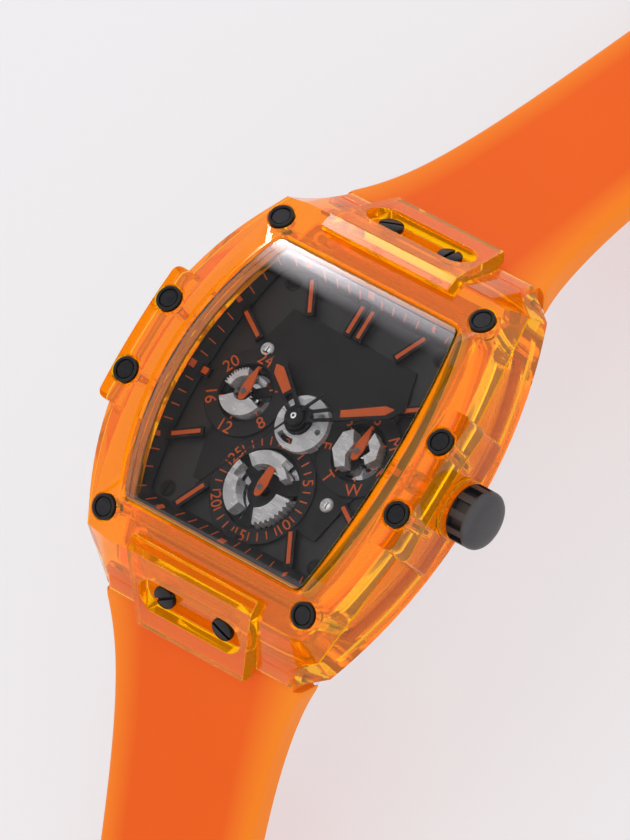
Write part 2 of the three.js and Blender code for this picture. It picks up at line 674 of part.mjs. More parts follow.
// Buckle pieces are built about their bar's axis, at the origin, with the frame level.
function buckleFrame() {
  const { inner, outer, reach, bar, half } = BUCKLE;
  const plate = block([-outer, outer], [-2, reach], [-half, half]);
  const window = block([-inner, inner], [-5, reach - bar], [-5, 5]);
  const side = TONGUE.halfWidth + GAP;
  const underTongue = block([-side, side], [reach - bar - 1, reach + 1], [half - 0.4, 5]);
  const barHole = rodX(BAR.radius + GAP, [-outer + 0.6, outer - 0.6], 0, 0);
  return cut(plate, window, underTongue, barHole);
}

function buckleTongue() {
  const { halfWidth, ring, height } = TONGUE;
  const { reach, half } = BUCKLE;
  const rest = half - 0.4 + GAP / 2;
  const end = reach + 0.6;
  const bend = reach - 3;
  const side = [
    [bend, rest + height], [end, rest + height * 0.6], [end, rest], [bend, rest], [0, 0.2], [0, ring],
  ];
  const arm = crosswise(side, -halfWidth, halfWidth);
  const eye = rodX(ring, [-halfWidth, halfWidth], 0, 0);
  return cut(join(eye, arm), rodX(BAR.radius + GAP, [-5, 5], 0, 0));
}

// ---------------------------------------------------------------- assembly

const watch = new THREE.Group();

function place(name, geometry, material, parent = watch) {
  const mesh = new THREE.Mesh(geometry, material);
  mesh.name = name;
  parent.add(mesh);
  return mesh;
}

function addHead() {
  const head = headSolid();
  place("bezel", bezel(head), clearOrange);
  place("case_middle", caseMiddle(head), clearOrange);
  place("crystal", arcPlate(CRYSTAL, TOP.z - 0.1, CRYSTAL.thick), glass);
  place("crystal_gasket", crystalGasket(), rubber);
  place("case_back", caseBack(), steel);
  place("case_back_gasket", ringBetween(gasketOuter, gasketInner, [1.4, 2.0]), rubber);
  bezelScrewPlaces.forEach((spot, i) => {
    place(`bezel_screw_${i + 1}`, onFront(dishedScrew(), spot), blackMetal);
  });
  backScrewPlaces.forEach(([x, y], i) => {
    place(`back_screw_${i + 1}`, backScrew(), steel).position.set(x, y, 0);
  });
}

function addEnds() {
  ["12", "6"].forEach((hour, i) => {
    const end = new THREE.Group();
    end.rotation.z = i * Math.PI;
    watch.add(end);
    const screwHoles = [-1, 1].map((side) => hoodScrewHole(side * HOOD_SCREW.x));
    place(`hood_${hour}`, cut(hoodBlank(0), recessTool(), ...screwHoles), clearOrange, end);
    [-1, 1].forEach((side, j) => {
      const screw = slottedScrew(HOOD_SCREW).rotateZ(0.7 + j).translate(0, 0, -HOOD_SCREW.sunk);
      place(`hood_screw_${2 * i + j + 1}`, onSlope(screw, side * HOOD_SCREW.x), blackMetal, end);
    });
    const strapBar = rodX(BAR.radius, [-BAR.halfLength, BAR.halfLength], ROOT.y, ROOT.z);
    place(`strap_bar_${hour}`, strapBar, steel, end);
  });
}

function addCrown() {
  const axis = new THREE.Group();
  axis.position.z = SHAFT.z;
  watch.add(axis);
  place("crown", crownSolid(), blackMetal, axis);
  place("winding_stem", windingStem(), steel, axis);
  place("crown_tube", pipeX(TUBE.inner, TUBE.outer, [TUBE.from, TUBE.to]), steel, axis);
  const collar = pipeX(COLLAR.inner, COLLAR.outer, [COLLAR.from, COLLAR.to], 32);
  place("crown_collar", collar, clearOrange, axis);
  place("crown_gasket", pipeX(TUBE.outer + GAP, CROWN.bore - GAP, [22.3, 22.8]), rubber, axis);
  place("setting_lever", settingLever(), steel);
}

function addMovement() {
  place("movement_holder", movementHolder(), moulding);
  place("movement_plate", movementPlate(), steel);
  place("movement_bridge", movementBridge(), steel);
  place("battery", disc(BATTERY.radius, BATTERY.z, BATTERY.x, BATTERY.y), steel);
  place("stepper_coil", stepperCoil(), copper);
  place("hour_wheel", hourWheel(), steel);
  for (const [name, spec] of subdialList) {
    place(`wheel_${name}`, smallWheel(spec), steel);
  }
}

function addDial() {
  place("dial", dialPlate(), dialBlack);
  place("dial_centre_plate", centrePlate(), dialBlack);
  place("chapter_ring", chapterRing(), dialBlack);
  for (const [name, spec] of subdialList) {
    place(`subdial_${name}`, subdial(spec), dialBlack);
    place(`hand_${name}`, smallHand(spec), lume);
  }
  place("hour_hand", pipeHand(HANDS.hour, LEVEL.hourHand, HOUR_PIPE, 1.9), dialBlack);
  place("minute_hand", pipeHand(HANDS.minute, LEVEL.minuteHand, MINUTE_PIPE, 1.5), dialBlack);
  place("second_hand", secondHand(), lume);
}

function addStrap() {
  const { solid, end } = strapTwelve();
  place("strap_12", solid, silicone);
  place("keeper_fixed", keeper(KEEPER.fixed, end), silicone);
  place("keeper_sliding", keeper(KEEPER.sliding, end), silicone);
  const buckle = new THREE.Group();
  buckle.position.set(0, end.y, end.z);
  buckle.rotation.x = -radians(BUCKLE.tilt);
  watch.add(buckle);
  place("buckle_frame", buckleFrame(), blackMetal, buckle);
  place("buckle_tongue", buckleTongue(), blackMetal, buckle);
  place("buckle_bar", rodX(BAR.radius, [-11.4, 11.4], 0, 0), steel, buckle);
  const sixEnd = new THREE.Group();
  sixEnd.rotation.z = Math.PI;
  watch.add(sixEnd);
  place("strap_6", strapSix(), silicone, sixEnd);
}

addHead();
addEnds();
addCrown();
addMovement();
addDial();
addStrap();

export default watch;
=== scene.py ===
"""Looks of a tonneau sport watch with a clear orange case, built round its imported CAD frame.

Shapes are written in millimetres in the CAD frame: +Z out of the dial, +Y to 12 o'clock, +X to the crown.
"""

import math

import bmesh
import bpy
from mathutils import Matrix, Vector


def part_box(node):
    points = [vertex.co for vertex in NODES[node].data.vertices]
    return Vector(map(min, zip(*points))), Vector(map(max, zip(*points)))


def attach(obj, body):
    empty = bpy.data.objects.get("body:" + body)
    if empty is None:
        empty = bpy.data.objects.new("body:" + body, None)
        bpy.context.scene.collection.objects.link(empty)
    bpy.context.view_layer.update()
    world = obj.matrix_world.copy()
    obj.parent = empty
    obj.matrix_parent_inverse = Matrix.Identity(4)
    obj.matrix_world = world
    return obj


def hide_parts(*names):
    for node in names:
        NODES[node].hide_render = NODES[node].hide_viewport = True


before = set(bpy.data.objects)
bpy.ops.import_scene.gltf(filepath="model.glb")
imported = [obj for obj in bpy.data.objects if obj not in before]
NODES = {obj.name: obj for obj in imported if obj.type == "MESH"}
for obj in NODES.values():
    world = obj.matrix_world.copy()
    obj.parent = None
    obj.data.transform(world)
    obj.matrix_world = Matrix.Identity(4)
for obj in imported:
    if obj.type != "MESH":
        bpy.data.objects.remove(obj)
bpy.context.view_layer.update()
scene = bpy.context.scene

MM = 0.001


def low(node):
    """Lowest corner of a CAD node, in millimetres."""
    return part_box(node)[0] / MM


def high(node):
    """Highest corner of a CAD node, in millimetres."""
    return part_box(node)[1] / MM


def middle(node):
    return (low(node) + high(node)) / 2


# ------------------------------------------------------------------ driving sizes

# The bezel's front is part of a cylinder about X.
TOP_Z = high("bezel").z
TOP_RADIUS = 60.0
GAP = 0.2  # between neighbours
# Depths under the bezel's front: the crystal's seat, the bezel's lower face and the case's top.
SEAT_DEPTH = 2.6
JOINT_DEPTH = 3.5
BEZEL_FOOT = JOINT_DEPTH - GAP / 2
CASE_TOP = JOINT_DEPTH + GAP / 2

# Outlines: half width w, half length l, radius r of the bowed sides and, where cut, the corner's end.
OPENING = dict(w=14.6, l=15.7, r=50.0)
CRYSTAL = dict(w=15.3, l=16.5, r=50.0)
CAVITY = dict(w=16.0, l=16.3, r=50.0)
BACK_ROOM = dict(w=17.4, l=19.7, r=58.0)
SHOULDER = dict(w=17.5, l=18.9, r=61.5, end=(12.2, 19.5))
HEAD = [
    dict(z=0.9, w=19.2, l=21.0, r=58.0, end=(12.0, 22.6)),
    dict(z=3.0, w=21.4, l=22.4, r=58.0, end=(12.9, 25.3)),
    dict(z=10.2, w=20.6, l=20.7, r=44.0, end=(12.9, 20.8)),
    dict(z=14.2, w=20.4, l=20.7, r=44.0, end=(12.9, 20.8)),
]
JOINT_SEAL = dict(
    inner=dict(w=16.5, l=17.0, r=50.0),
    outer=dict(w=17.1, l=17.6, r=50.0),
    deep=0.5,
)
RIB_ROOM = dict(w=16.45, l=16.75, r=50.0)
RIB_LEVELS = ((2.9, 3.5), (7.5, 8.1))
SHOULDER_DROP = 0.75
EAR = dict(inner=16.4, half=8.3, front=21.1, front_z=14.2, back=21.5, back_z=5.1, foot=20.6, foot_z=3.6)

EAR_SCREW = (19.43, 4.51)
CORNER_SCREW = (14.35, 18.46)
HOOD_PROFILE = [
    (19.45, 11.2), (19.45, 9.35), (20.26, 9.2), (24.22, 3.89), (26.2, 2.26), (27.25, 3.05),
    (21.3, 10.73),
]
HOOD_PLAN = [(9.1, 19.3), (9.0, 21.3), (7.55, 27.5)]
HOOD_SLOPE = math.radians(52.6)
RECESS = dict(y=24.2, z=6.98, half_length=7.3, half_width=2.1, depth=1.5)
HOOD_SCREW_X = 4.18
BACK_SCREWS = [(sx * 11.0, sy * 18.2) for sx in (-1, 1) for sy in (-1, 1)]
BAR = (22.9, 2.0)  # y and z of the 12 o'clock strap bar
CROWN_Z = middle("crown").z
CROWN_NOTCHES = 10

DIAL_Z = high("dial").z
SUBDIAL_Z = high("subdial_date").z
SUBDIALS = {name: middle(f"subdial_{name}") for name in ("24h", "date", "day")}
# The chapter ring slopes from its foot up to its rim.
FOOT = dict(w=14.1, l=14.05, r=49.0)
RIM = dict(w=15.3, l=15.6, r=50.0)
FOOT_Z = 7.1
RIM_Z = 8.75

ORANGE = (0.80, 0.125, 0.010)
# The strap's half width for the painted edge light in its material: narrow, plus a flare that fades with y
# from its root.
EDGE_NARROW, EDGE_FLARE, EDGE_ROOT, EDGE_FADE = 9.9, 4.1, 24.0, 11.0


# ------------------------------------------------------------------ shapes

def loose(mesh):
    """An object in the scene that isn't a piece yet."""
    obj = bpy.data.objects.new("shape", mesh)
    scene.collection.objects.link(obj)
    return obj


def clean(mesh, merge=0.0, dissolve=0.0):
    """Merges close vertices or removes faces without area, then turns every face outwards."""
    work = bmesh.new()
    work.from_mesh(mesh)
    if merge:
        bmesh.ops.remove_doubles(work, verts=work.verts, dist=merge)
    if dissolve:
        bmesh.ops.dissolve_degenerate(work, edges=work.edges, dist=dissolve)
    bmesh.ops.recalc_face_normals(work, faces=work.faces)
    work.to_mesh(mesh)
    work.free()


def shape(verts, faces):
    """A loose object from vertices in millimetres."""
    mesh = bpy.data.meshes.new("shape")
    mesh.from_pydata([Vector(v) * MM for v in verts], [], faces)
    clean(mesh, merge=1e-7)
    return loose(mesh)


def loft(rings, closed=False):
    """A skin over rings of equal count. Open ends are capped; closed joins the last ring to the first."""
    count = len(rings[0])
    total = len(rings)
    faces = []
    for r in range(total if closed else total - 1):
        here, there = r * count, ((r + 1) % total) * count
        for i in range(count):
            j = (i + 1) % count
            faces.append((here + i, here + j, there + j, there + i))
    if not closed:
        faces.append(tuple(range(count))[::-1])
        faces.append(tuple(range((total - 1) * count, total * count)))
    return shape([v for ring in rings for v in ring], faces)


def prism(outline, z0, z1):
    """An (x, y) outline run along Z."""
    return loft([[(x, y, z) for x, y in outline] for z in (z0, z1)])


def crosswise(profile, x0, x1):
    """A profile of (y, z) run along X."""
    return loft([[(x, y, z) for y, z in profile] for x in (x0, x1)])


def lathe(profile, sides=48):
    """A (radius, height) profile turned about +Z, which starts and ends on the axis or is a closed loop."""
    verts, faces = [], []
    for i in range(sides):
        turn = 2 * math.pi * i / sides
        verts += [(r * math.cos(turn), r * math.sin(turn), z) for r, z in profile]
    count = len(profile)
    on_axis = profile[0][0] == 0
    for i in range(sides):
        a, b = i * count, ((i + 1) % sides) * count
        for k in range(count - 1 if on_axis else count):
            n = (k + 1) % count
            faces.append((a + k, b + k, b + n, a + n))
    obj = shape(verts, faces)
    clean(obj.data, dissolve=1e-8)
    return obj


def ring_disc(inner, outer, z0, z1, sides=48):
    """A flat ring about +Z."""
    return lathe([(inner, z0), (outer, z0), (outer, z1), (inner, z1)], sides)


def circle(radius, x=0.0, y=0.0, sides=48):
    turns = [2 * math.pi * i / sides for i in range(sides)]
    return [(x + radius * math.cos(t), y + radius * math.sin(t)) for t in turns]


def disc(radius, z0, z1, x=0.0, y=0.0, sides=48):
    return prism(circle(radius, x, y, sides), z0, z1)


def box(x, y, z):
    """A block between two values along each axis."""
    return prism([(x[0], y[0]), (x[1], y[0]), (x[1], y[1]), (x[0], y[1])], *z)


def moved(obj, matrix):
    obj.data.transform(matrix)
    return obj


def turned(obj, degrees, axis="Z"):
    return moved(obj, Matrix.Rotation(math.radians(degrees), 4, axis))


def shifted(obj, x=0.0, y=0.0, z=0.0):
    return moved(obj, Matrix.Translation(Vector((x, y, z)) * MM))


def rod(radius, x0, x1, y=0.0, z=0.0, sides=32):
    """A round bar along X."""
    return shifted(turned(disc(radius, x0, x1, sides=sides), 90, "Y"), 0, y, z)


def evaluated_mesh(obj):
    """An object's mesh with its modifiers applied."""
    bpy.context.view_layer.update()
    return bpy.data.meshes.new_from_object(obj.evaluated_get(bpy.context.evaluated_depsgraph_get()))


def boolean(base, tools, operation):
    for tool in tools:
        modifier = base.modifiers.new("boolean", "BOOLEAN")
        modifier.operation = operation
        modifier.solver = "EXACT"
        modifier.object = tool
    made = evaluated_mesh(base)
    base.modifiers.clear()
    base.data = made
    for tool in tools:
        bpy.data.objects.remove(tool)
    return base


def cut(base, *tools):
    return boolean(base, tools, "DIFFERENCE")


def weld(base, *others):
    return boolean(base, others, "UNION")


def common(base, *others):
    return boolean(base, others, "INTERSECT")


def together(objects):
    """Several loose shapes as one object, without a boolean."""
    merged = bmesh.new()
    for obj in objects:
        merged.from_mesh(obj.data)
    mesh = bpy.data.meshes.new("shape")
    merged.to_mesh(mesh)
    merged.free()
    for obj in objects:
        bpy.data.objects.remove(obj)
    return loose(mesh)


def shade(obj, material, sharp):
    """Gives a mesh one material and smooth shading, apart from edges sharper than an angle."""
    obj.data.materials.clear()
    obj.data.materials.append(material)
    for face in obj.data.polygons:
        face.use_smooth = True
    obj.data.set_sharp_from_angle(angle=math.radians(sharp))


def soften(obj, width, segments, limit):
    """Rounds the edges that are sharper than a limit in degrees."""
    modifier = obj.modifiers.new("edges", "BEVEL")
    modifier.width = width * MM
    modifier.segments = segments
    modifier.limit_method = "ANGLE"
    modifier.angle_limit = math.radians(limit)
    modifier.use_clamp_overlap = True
    return modifier


def piece(obj, name, material, body, replaced=(), bevel=0.0, segments=2, sharp=32):
    """Finishes a shape as a named piece that rides on a body and may stand for CAD nodes."""
    obj.name = name
    obj.data.name = name
    shade(obj, material, sharp)
    for face in obj.data.polygons:
        face.material_index = 0
    if bevel:
        soften(obj, bevel, segments, 28).harden_normals = True
    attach(obj, body)
    if replaced:
        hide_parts(*replaced)


def carried(node, material, bevel):
    """A CAD node that stays, with a finished material and soft edges."""
    shade(NODES[node], material, 32)
    soften(NODES[node], bevel, 2, 32)


# ------------------------------------------------------------------ materials

class Nodes:
    """A material's node tree, with short calls for the nodes that these materials share."""

    def __init__(self, name):
        self.material = bpy.data.materials.new(name)
        self.material.use_nodes = True
        self.tree = self.material.node_tree
        self.shader = self.tree.nodes["Principled BSDF"]
        self.output = self.tree.nodes["Material Output"]
        self.place = self.new("ShaderNodeTexCoord").outputs["Object"]

    def new(self, kind, **values):
        node = self.tree.nodes.new(kind)
        for key, value in values.items():
            setattr(node, key, value)
        return node

    def link(self, source, target):
        self.tree.links.new(source, target)

    def set(self, **values):
        for key, value in values.items():
            self.shader.inputs[key.replace("_", " ")].default_value = value

    def noise(self, scale, detail=4.0, stretch=None):
        node = self.new("ShaderNodeTexNoise")
        node.inputs["Scale"].default_value = scale
        node.inputs["Detail"].default_value = detail
        source = self.place
        if stretch:
            mapping = self.new("ShaderNodeMapping")
            mapping.inputs["Scale"].default_value = stretch
            self.link(source, mapping.inputs["Vector"])
            source = mapping.outputs["Vector"]
        self.link(source, node.inputs["Vector"])
        return node.outputs["Fac"]

    def ramp(self, source, stops):
        node = self.new("ShaderNodeValToRGB")
        elements = node.color_ramp.elements
        while len(elements) < len(stops):
            elements.new(0.5)
        for element, (position, colour) in zip(elements, stops):
            element.position = position
            element.color = (*colour, 1)
        self.link(source, node.inputs["Fac"])
        return node.outputs["Color"]

    def colour(self, source, dark, light, start=0.3, stop=0.7):
        """The base colour, between two tones along a noise."""
        self.link(self.ramp(source, [(start, dark), (stop, light)]), self.shader.inputs["Base Color"])

    def roughness(self, source, smooth, rough):
        self.link(self.span(source, smooth, rough), self.shader.inputs["Roughness"])

    def span(self, source, low_value, high_value):
        node = self.new("ShaderNodeMapRange")
        node.inputs["To Min"].default_value = low_value
        node.inputs["To Max"].default_value = high_value
        self.link(source, node.inputs["Value"])
        return node.outputs["Result"]

    def math(self, operation, *values):
        node = self.new("ShaderNodeMath", operation=operation)
        for value, target in zip(values, node.inputs):
            if isinstance(value, (int, float)):
                target.default_value = value
            else:
                self.link(value, target)
        return node.outputs["Value"]

    def bump(self, source, strength, distance):
        node = self.new("ShaderNodeBump")
        node.inputs["Strength"].default_value = strength
        node.inputs["Distance"].default_value = distance * MM
        self.link(source, node.inputs["Height"])
        self.link(node.outputs["Normal"], self.shader.inputs["Normal"])


def lets_lamps_through(nodes, tint):
    """Glass that lamps shine through: a Transparent shader stands in for shadow rays."""
    path = nodes.new("ShaderNodeLightPath")
    clear = nodes.new("ShaderNodeBsdfTransparent")
    clear.inputs["Color"].default_value = (*tint, 1)
    mix = nodes.new("ShaderNodeMixShader")
    nodes.link(path.outputs["Is Shadow Ray"], mix.inputs[0])
    nodes.link(nodes.shader.outputs["BSDF"], mix.inputs[1])
    nodes.link(clear.outputs["BSDF"], mix.inputs[2])
    nodes.link(mix.outputs["Shader"], nodes.output.inputs["Surface"])


def clear_plastic():
    """Tinted through its depth, with a faint painted glow: an even emission that brightens the plastic
    without any lamp.
    """
    nodes = Nodes("clear_orange_plastic")
    nodes.set(Base_Color=(1.0, 0.58, 0.005, 1), Transmission_Weight=0.95, IOR=1.4)
    # painted glow: the emission makes the clear plastic shine by itself, standing in for light that passes
    # through it
    nodes.set(Emission_Color=(1.0, 0.42, 0.005, 1), Emission_Strength=0.055)
    nodes.roughness(nodes.noise(900, 3), 0.0, 0.014)
    nodes.bump(nodes.noise(160, 2), 0.03, 0.02)
    lets_lamps_through(nodes, (1.0, 0.72, 0.35))
    volume = nodes.new("ShaderNodeVolumeAbsorption")
    volume.inputs["Color"].default_value = (0.985, 0.78, 0.02, 1)
    volume.inputs["Density"].default_value = 170.0
    nodes.link(volume.outputs["Volume"], nodes.output.inputs["Volume"])
    return nodes.material


def crystal_glass():
    nodes = Nodes("mineral_crystal")
    nodes.set(Base_Color=(0.985, 0.99, 0.99, 1), Transmission_Weight=1.0, IOR=1.5)
    nodes.roughness(nodes.noise(700, 2), 0.0, 0.012)
    lets_lamps_through(nodes, (0.97, 0.97, 0.97))
    return nodes.material


def strap_edge(nodes):
    """How far across the strap a point lies: 0 on the middle line and 1 at its flaring edges."""
    split = nodes.new("ShaderNodeSeparateXYZ")
    nodes.link(nodes.place, split.inputs["Vector"])
    x = nodes.math("ABSOLUTE", split.outputs["X"])
    y = nodes.math("ABSOLUTE", split.outputs["Y"])
    along = nodes.math("MULTIPLY", nodes.math("SUBTRACT", y, EDGE_ROOT * MM), -1 / (EDGE_FADE * MM))
    width = nodes.math("MULTIPLY_ADD", nodes.math("EXPONENT", along), EDGE_FLARE * MM, EDGE_NARROW * MM)
    return nodes.math("DIVIDE", x, width)


def strap_silicone():
    """Satin rubber whose base colour is painted paler along its edges, a painted glow for the light that
    gets through there.
    """
    nodes = Nodes("orange_silicone")
    nodes.set(IOR=1.4, Specular_IOR_Level=0.2)
    cloudy = nodes.ramp(nodes.noise(38, 3), [(0.3, (0.85, 0.110, 0.003)), (0.7, (0.88, 0.122, 0.005))])
    # painted light: the base colour turns paler towards the strap's edges, a painted glow rather than the
    # rubber's own tone
    edge = nodes.ramp(strap_edge(nodes), [(0.62, (0, 0, 0)), (1.0, (1, 1, 1))])
    painted_edge_glow = nodes.new("ShaderNodeMix", data_type="RGBA")
    nodes.link(edge, painted_edge_glow.inputs["Factor"])
    nodes.link(cloudy, painted_edge_glow.inputs[6])
    painted_edge_glow.inputs[7].default_value = (0.95, 0.25, 0.012, 1)
    nodes.link(painted_edge_glow.outputs[2], nodes.shader.inputs["Base Color"])
    nodes.roughness(nodes.noise(2600, 2), 0.42, 0.56)
    nodes.bump(nodes.noise(5200, 3), 0.12, 0.02)
    return nodes.material


def black_metal(name, base, rough=(0.28, 0.42), contrast=0.15):
    nodes = Nodes(name)
    nodes.set(Metallic=0.85)
    grain = nodes.noise(2400, 4)
    dark, light = ([c * (1 + change) for c in base] for change in (-contrast, contrast))
    nodes.colour(grain, dark, light, start=0.35)
    nodes.roughness(grain, *rough)
    nodes.bump(grain, 0.05, 0.004)
    return nodes.material


def silver(name, rough=(0.12, 0.34), scale=1500, stretch=(1, 14, 1), metallic=1.0):
    """Bright metal whose fine lines follow the noise's stretch."""
    nodes = Nodes(name)
    nodes.set(Metallic=metallic)
    lines = nodes.noise(scale, 5, stretch)
    nodes.colour(lines, (0.70, 0.70, 0.72), (0.92, 0.92, 0.93), stop=0.65)
    nodes.roughness(lines, *rough)
    nodes.bump(lines, 0.05, 0.005)
    return nodes.material


def dial_paint(name, dark, light):
    """Matt lacquer with fine grain, over a slow change of tone across the dial."""
    nodes = Nodes(name)
    nodes.set(Metallic=0.15, IOR=1.45)
    nodes.colour(nodes.noise(55, 2), dark, light)
    nodes.roughness(nodes.noise(4200, 3), 0.42, 0.58)
    nodes.bump(nodes.noise(6500, 2), 0.10, 0.01)
    return nodes.material


def lume_paint():
    nodes = Nodes("orange_print")
    nodes.colour(nodes.noise(900, 3), [c * 0.92 for c in ORANGE], ORANGE)
    nodes.roughness(nodes.noise(3000, 2), 0.45, 0.6)
    nodes.bump(nodes.noise(5000, 2), 0.15, 0.01)
    return nodes.material


def plain_plastic(name, dark, light, rough):
    nodes = Nodes(name)
    nodes.colour(nodes.noise(600, 3), dark, light)
    nodes.roughness(nodes.noise(2500, 2), *rough)
    nodes.bump(nodes.noise(3800, 3), 0.15, 0.015)
    return nodes.material


CLEAR = clear_plastic()
GLASS = crystal_glass()
SILICONE = strap_silicone()
BLACK = black_metal("black_plated_steel", (0.028, 0.027, 0.029))
CROWN_BLACK = black_metal("crown_satin_black", (0.085, 0.082, 0.085), (0.40, 0.44), 0.04)
HAND_BLACK = black_metal("hand_black", (0.035, 0.034, 0.036), (0.3, 0.4))
SILVER = silver("brushed_steel")
PLATE = silver("movement_nickel", (0.2, 0.34), 400, (1, 3, 1), 0.35)
MIRROR = silver("polished_steel", (0.02, 0.08), 3000, (1, 1, 1))
DIAL = dial_paint("dial_outer_grey", (0.040, 0.039, 0.041), (0.050, 0.049, 0.052))
CENTRE = dial_paint("dial_centre_dark", (0.010, 0.0097, 0.011), (0.018, 0.0175, 0.019))
CHAPTER = dial_paint("chapter_ring_black", (0.014, 0.014, 0.015), (0.020, 0.020, 0.022))
RING = dial_paint("subdial_ring_grey", (0.018, 0.0175, 0.019), (0.024, 0.0235, 0.025))
LUME = lume_paint()
RUBBER = plain_plastic("seal_rubber", (0.008, 0.008, 0.008), (0.016, 0.016, 0.016), (0.6, 0.8))
MOULDING = plain_plastic("orange_moulding", (0.94, 0.56, 0.04), (0.98, 0.66, 0.06), (0.35, 0.5))
GASKET = plain_plastic("orange_gasket", (0.78, 0.20, 0.01), (0.86, 0.26, 0.014), (0.35, 0.5))
COPPER = plain_plastic("coil_copper", (0.42, 0.14, 0.05), (0.6, 0.22, 0.08), (0.3, 0.45))


# ------------------------------------------------------------------ outlines of the head

SIDE_STEPS = 28
CORNER_STEPS = 4
END_STEPS = 12


def bow(w, r, y):
    """Half width of an outline whose sides have radius r, at height y."""
    return w - r + math.sqrt(r * r - y * y)


def outline(w, l, r, end=None, fillet=0.9):
    """A bowed outline whose corners are cut straight to end, or rounded where there is none."""
    reach = l if end else l - fillet
    ys = [reach * (2 * i / SIDE_STEPS - 1) for i in range(SIDE_STEPS + 1)]
    side = [(bow(w, r, y), y) for y in ys]
    start = Vector(side[-1])
    stop = Vector(end or (bow(w, r, l) - fillet, l))
    knee = (start + stop) / 2 if end else Vector((bow(w, r, l), l))
    corner = []
    for i in range(1, CORNER_STEPS):
        t = i / CORNER_STEPS
        point = start * (1 - t) ** 2 + knee * 2 * t * (1 - t) + stop * t * t
        corner.append(tuple(point))
    across = [(stop.x * (1 - 2 * i / END_STEPS), stop.y) for i in range(END_STEPS + 1)]
    other = [(-x, y) for x, y in reversed(corner)]
    half = side + corner + across + other
    return half + [(-x, -y) for x, y in half]


def front(y, depth=0.0):
    """Height of the bezel's front, which is part of a cylinder about X, less a depth."""
    return TOP_Z - TOP_RADIUS + math.sqrt(TOP_RADIUS ** 2 - y * y) - depth


def at_height(points, z):
    return [(x, y, z) for x, y in points]


def on_front(points, depth=0.0):
    return [(x, y, front(y, depth)) for x, y in points]


def head_outline(level):
    return outline(level["w"], level["l"], level["r"], level["end"])


HEAD_OUTLINES = [head_outline(level) for level in HEAD]


def skin(index, z):
    """A point of the head's outer skin at height z, for one corner of the outlines."""
    lower = max(k for k in range(len(HEAD) - 1) if z >= HEAD[k]["z"] or k == 0)
    share = (z - HEAD[lower]["z"]) / (HEAD[lower + 1]["z"] - HEAD[lower]["z"])
    a, b = (Vector(HEAD_OUTLINES[k][index]) for k in (lower, lower + 1))
    return a.lerp(b, share)


def skin_ring(height):
    """The head's outer skin along a line whose height depends on y."""
    ring = []
    for index in range(len(HEAD_OUTLINES[0])):
        point = skin(index, height(HEAD_OUTLINES[2][index][1]))
        for _ in range(3):
            point = skin(index, height(point.y))
        ring.append((point.x, point.y, height(point.y)))
    return ring


def arc_slab(depth_top, depth_bottom=None, steps=96):
    """A slab from one depth under the bezel's front to another, or to well below the head."""
    half = 30.0
    ys = [half * (2 * i / steps - 1) for i in range(steps + 1)]
    top = [(y, front(y, depth_top)) for y in reversed(ys)]
    if depth_bottom is None:
        bottom = [(-half, -10.0), (half, -10.0)]
    else:
        bottom = [(y, front(y, depth_bottom)) for y in ys]
    return crosswise(bottom + top, -half, half)


# ------------------------------------------------------------------ clear case

def ear_outline(reach):
    """Plan of one ear at the right, with rounded outer corners."""
    inner, half, fillet = EAR["inner"], EAR["half"], 0.9
    points = [(inner, -half)]
    for centre, first in ((-half + fillet, -90), (half - fillet, 0)):
        for i in range(6):
            turn = math.radians(first + 18 * i)
            points.append((reach - fillet + fillet * math.cos(turn), centre + fillet * math.sin(turn)))
    points.append((inner, half))
    return points


def ears(levels):
    """Both ears, lofted through (reach, z) levels."""
    right = loft([at_height(ear_outline(reach), z) for reach, z in levels])
    return right, half_turned_copy(right)


def at_front(obj, x, y):
    """Puts a piece that is built along +Z with its origin on the bezel's front at x, y."""
    tilt = math.asin(y / TOP_RADIUS)
    return moved(obj, Matrix.Translation(Vector((x, y, front(y))) * MM) @ Matrix.Rotation(-tilt, 4, "X"))


BEZEL_SCREWS = [
    (sx * x, sy * y)
    for x, y in (EAR_SCREW, CORNER_SCREW)
    for sx, sy in ((1, 1), (-1, 1), (-1, -1), (1, -1))
]


def bezel_screw_room(x, y):
    room = lathe([(0, -6.2), (0.85, -6.2), (0.85, -1.1), (1.68, -1.1), (1.68, 3), (0, 3)], 32)
    return at_front(room, x, y)


def on_slope(obj, x):
    """Puts a piece that is built along +Z on the 12 o'clock hood's slope."""
    place = Matrix.Translation(Vector((x, RECESS["y"], RECESS["z"])) * MM)
    return moved(obj, place @ Matrix.Rotation(-HOOD_SLOPE, 4, "X"))


def hood_blank(extra=0.0):
    """A hood without its recess and screw holes, wider by an extra on both sides."""
    plan = [(x + extra, y) for x, y in HOOD_PLAN]
    plan += [(-x, y) for x, y in reversed(plan)]
    return common(crosswise(HOOD_PROFILE, -12, 12), prism(plan, 0, 13))


def back_plate():
    """The case back: a plate with a groove round its flat and four sunk screw holes."""
    plate = prism(outline(w=17.2, l=19.5, r=58.0, fillet=0.6), 0, 1.2)
    groove_outside = prism(outline(w=14.6, l=16.4, r=52.0), -1, 0.25)
    groove_inside = prism(outline(w=14.1, l=15.9, r=52.0), -2, 1)
    rooms = []
    for x, y in BACK_SCREWS:
        room = lathe([(0, -1), (1.2, -1), (1.2, 0.8), (0.8, 0.8), (0.8, 5), (0, 5)], 32)
        rooms.append(shifted(room, x, y))
    return cut(plate, cut(groove_outside, groove_inside), *rooms)


def back_screw(angle):
    body = lathe([
        (0, 0.08), (0.85, 0.08), (1.0, 0.18), (1.0, 0.6), (0.5, 0.6), (0.5, 4.6), (0, 4.6),
    ], 40)
    return cut(body, turned(box((-2, 2), (-0.14, 0.14), (-1, 0.32)), angle))


def build_case_back():
    piece(back_plate(), "case_back_plate", SILVER, "head", ["case_back"], bevel=0.1)
    for i in range(1, 5):
        node = f"back_screw_{i}"
        body = shifted(back_screw(25 * i), *middle(node).xy)
        piece(body, f"{node}_slotted", SILVER, "head", [node], bevel=0.04)


def half_turned_copy(obj):
    return turned(loose(obj.data.copy()), 180)


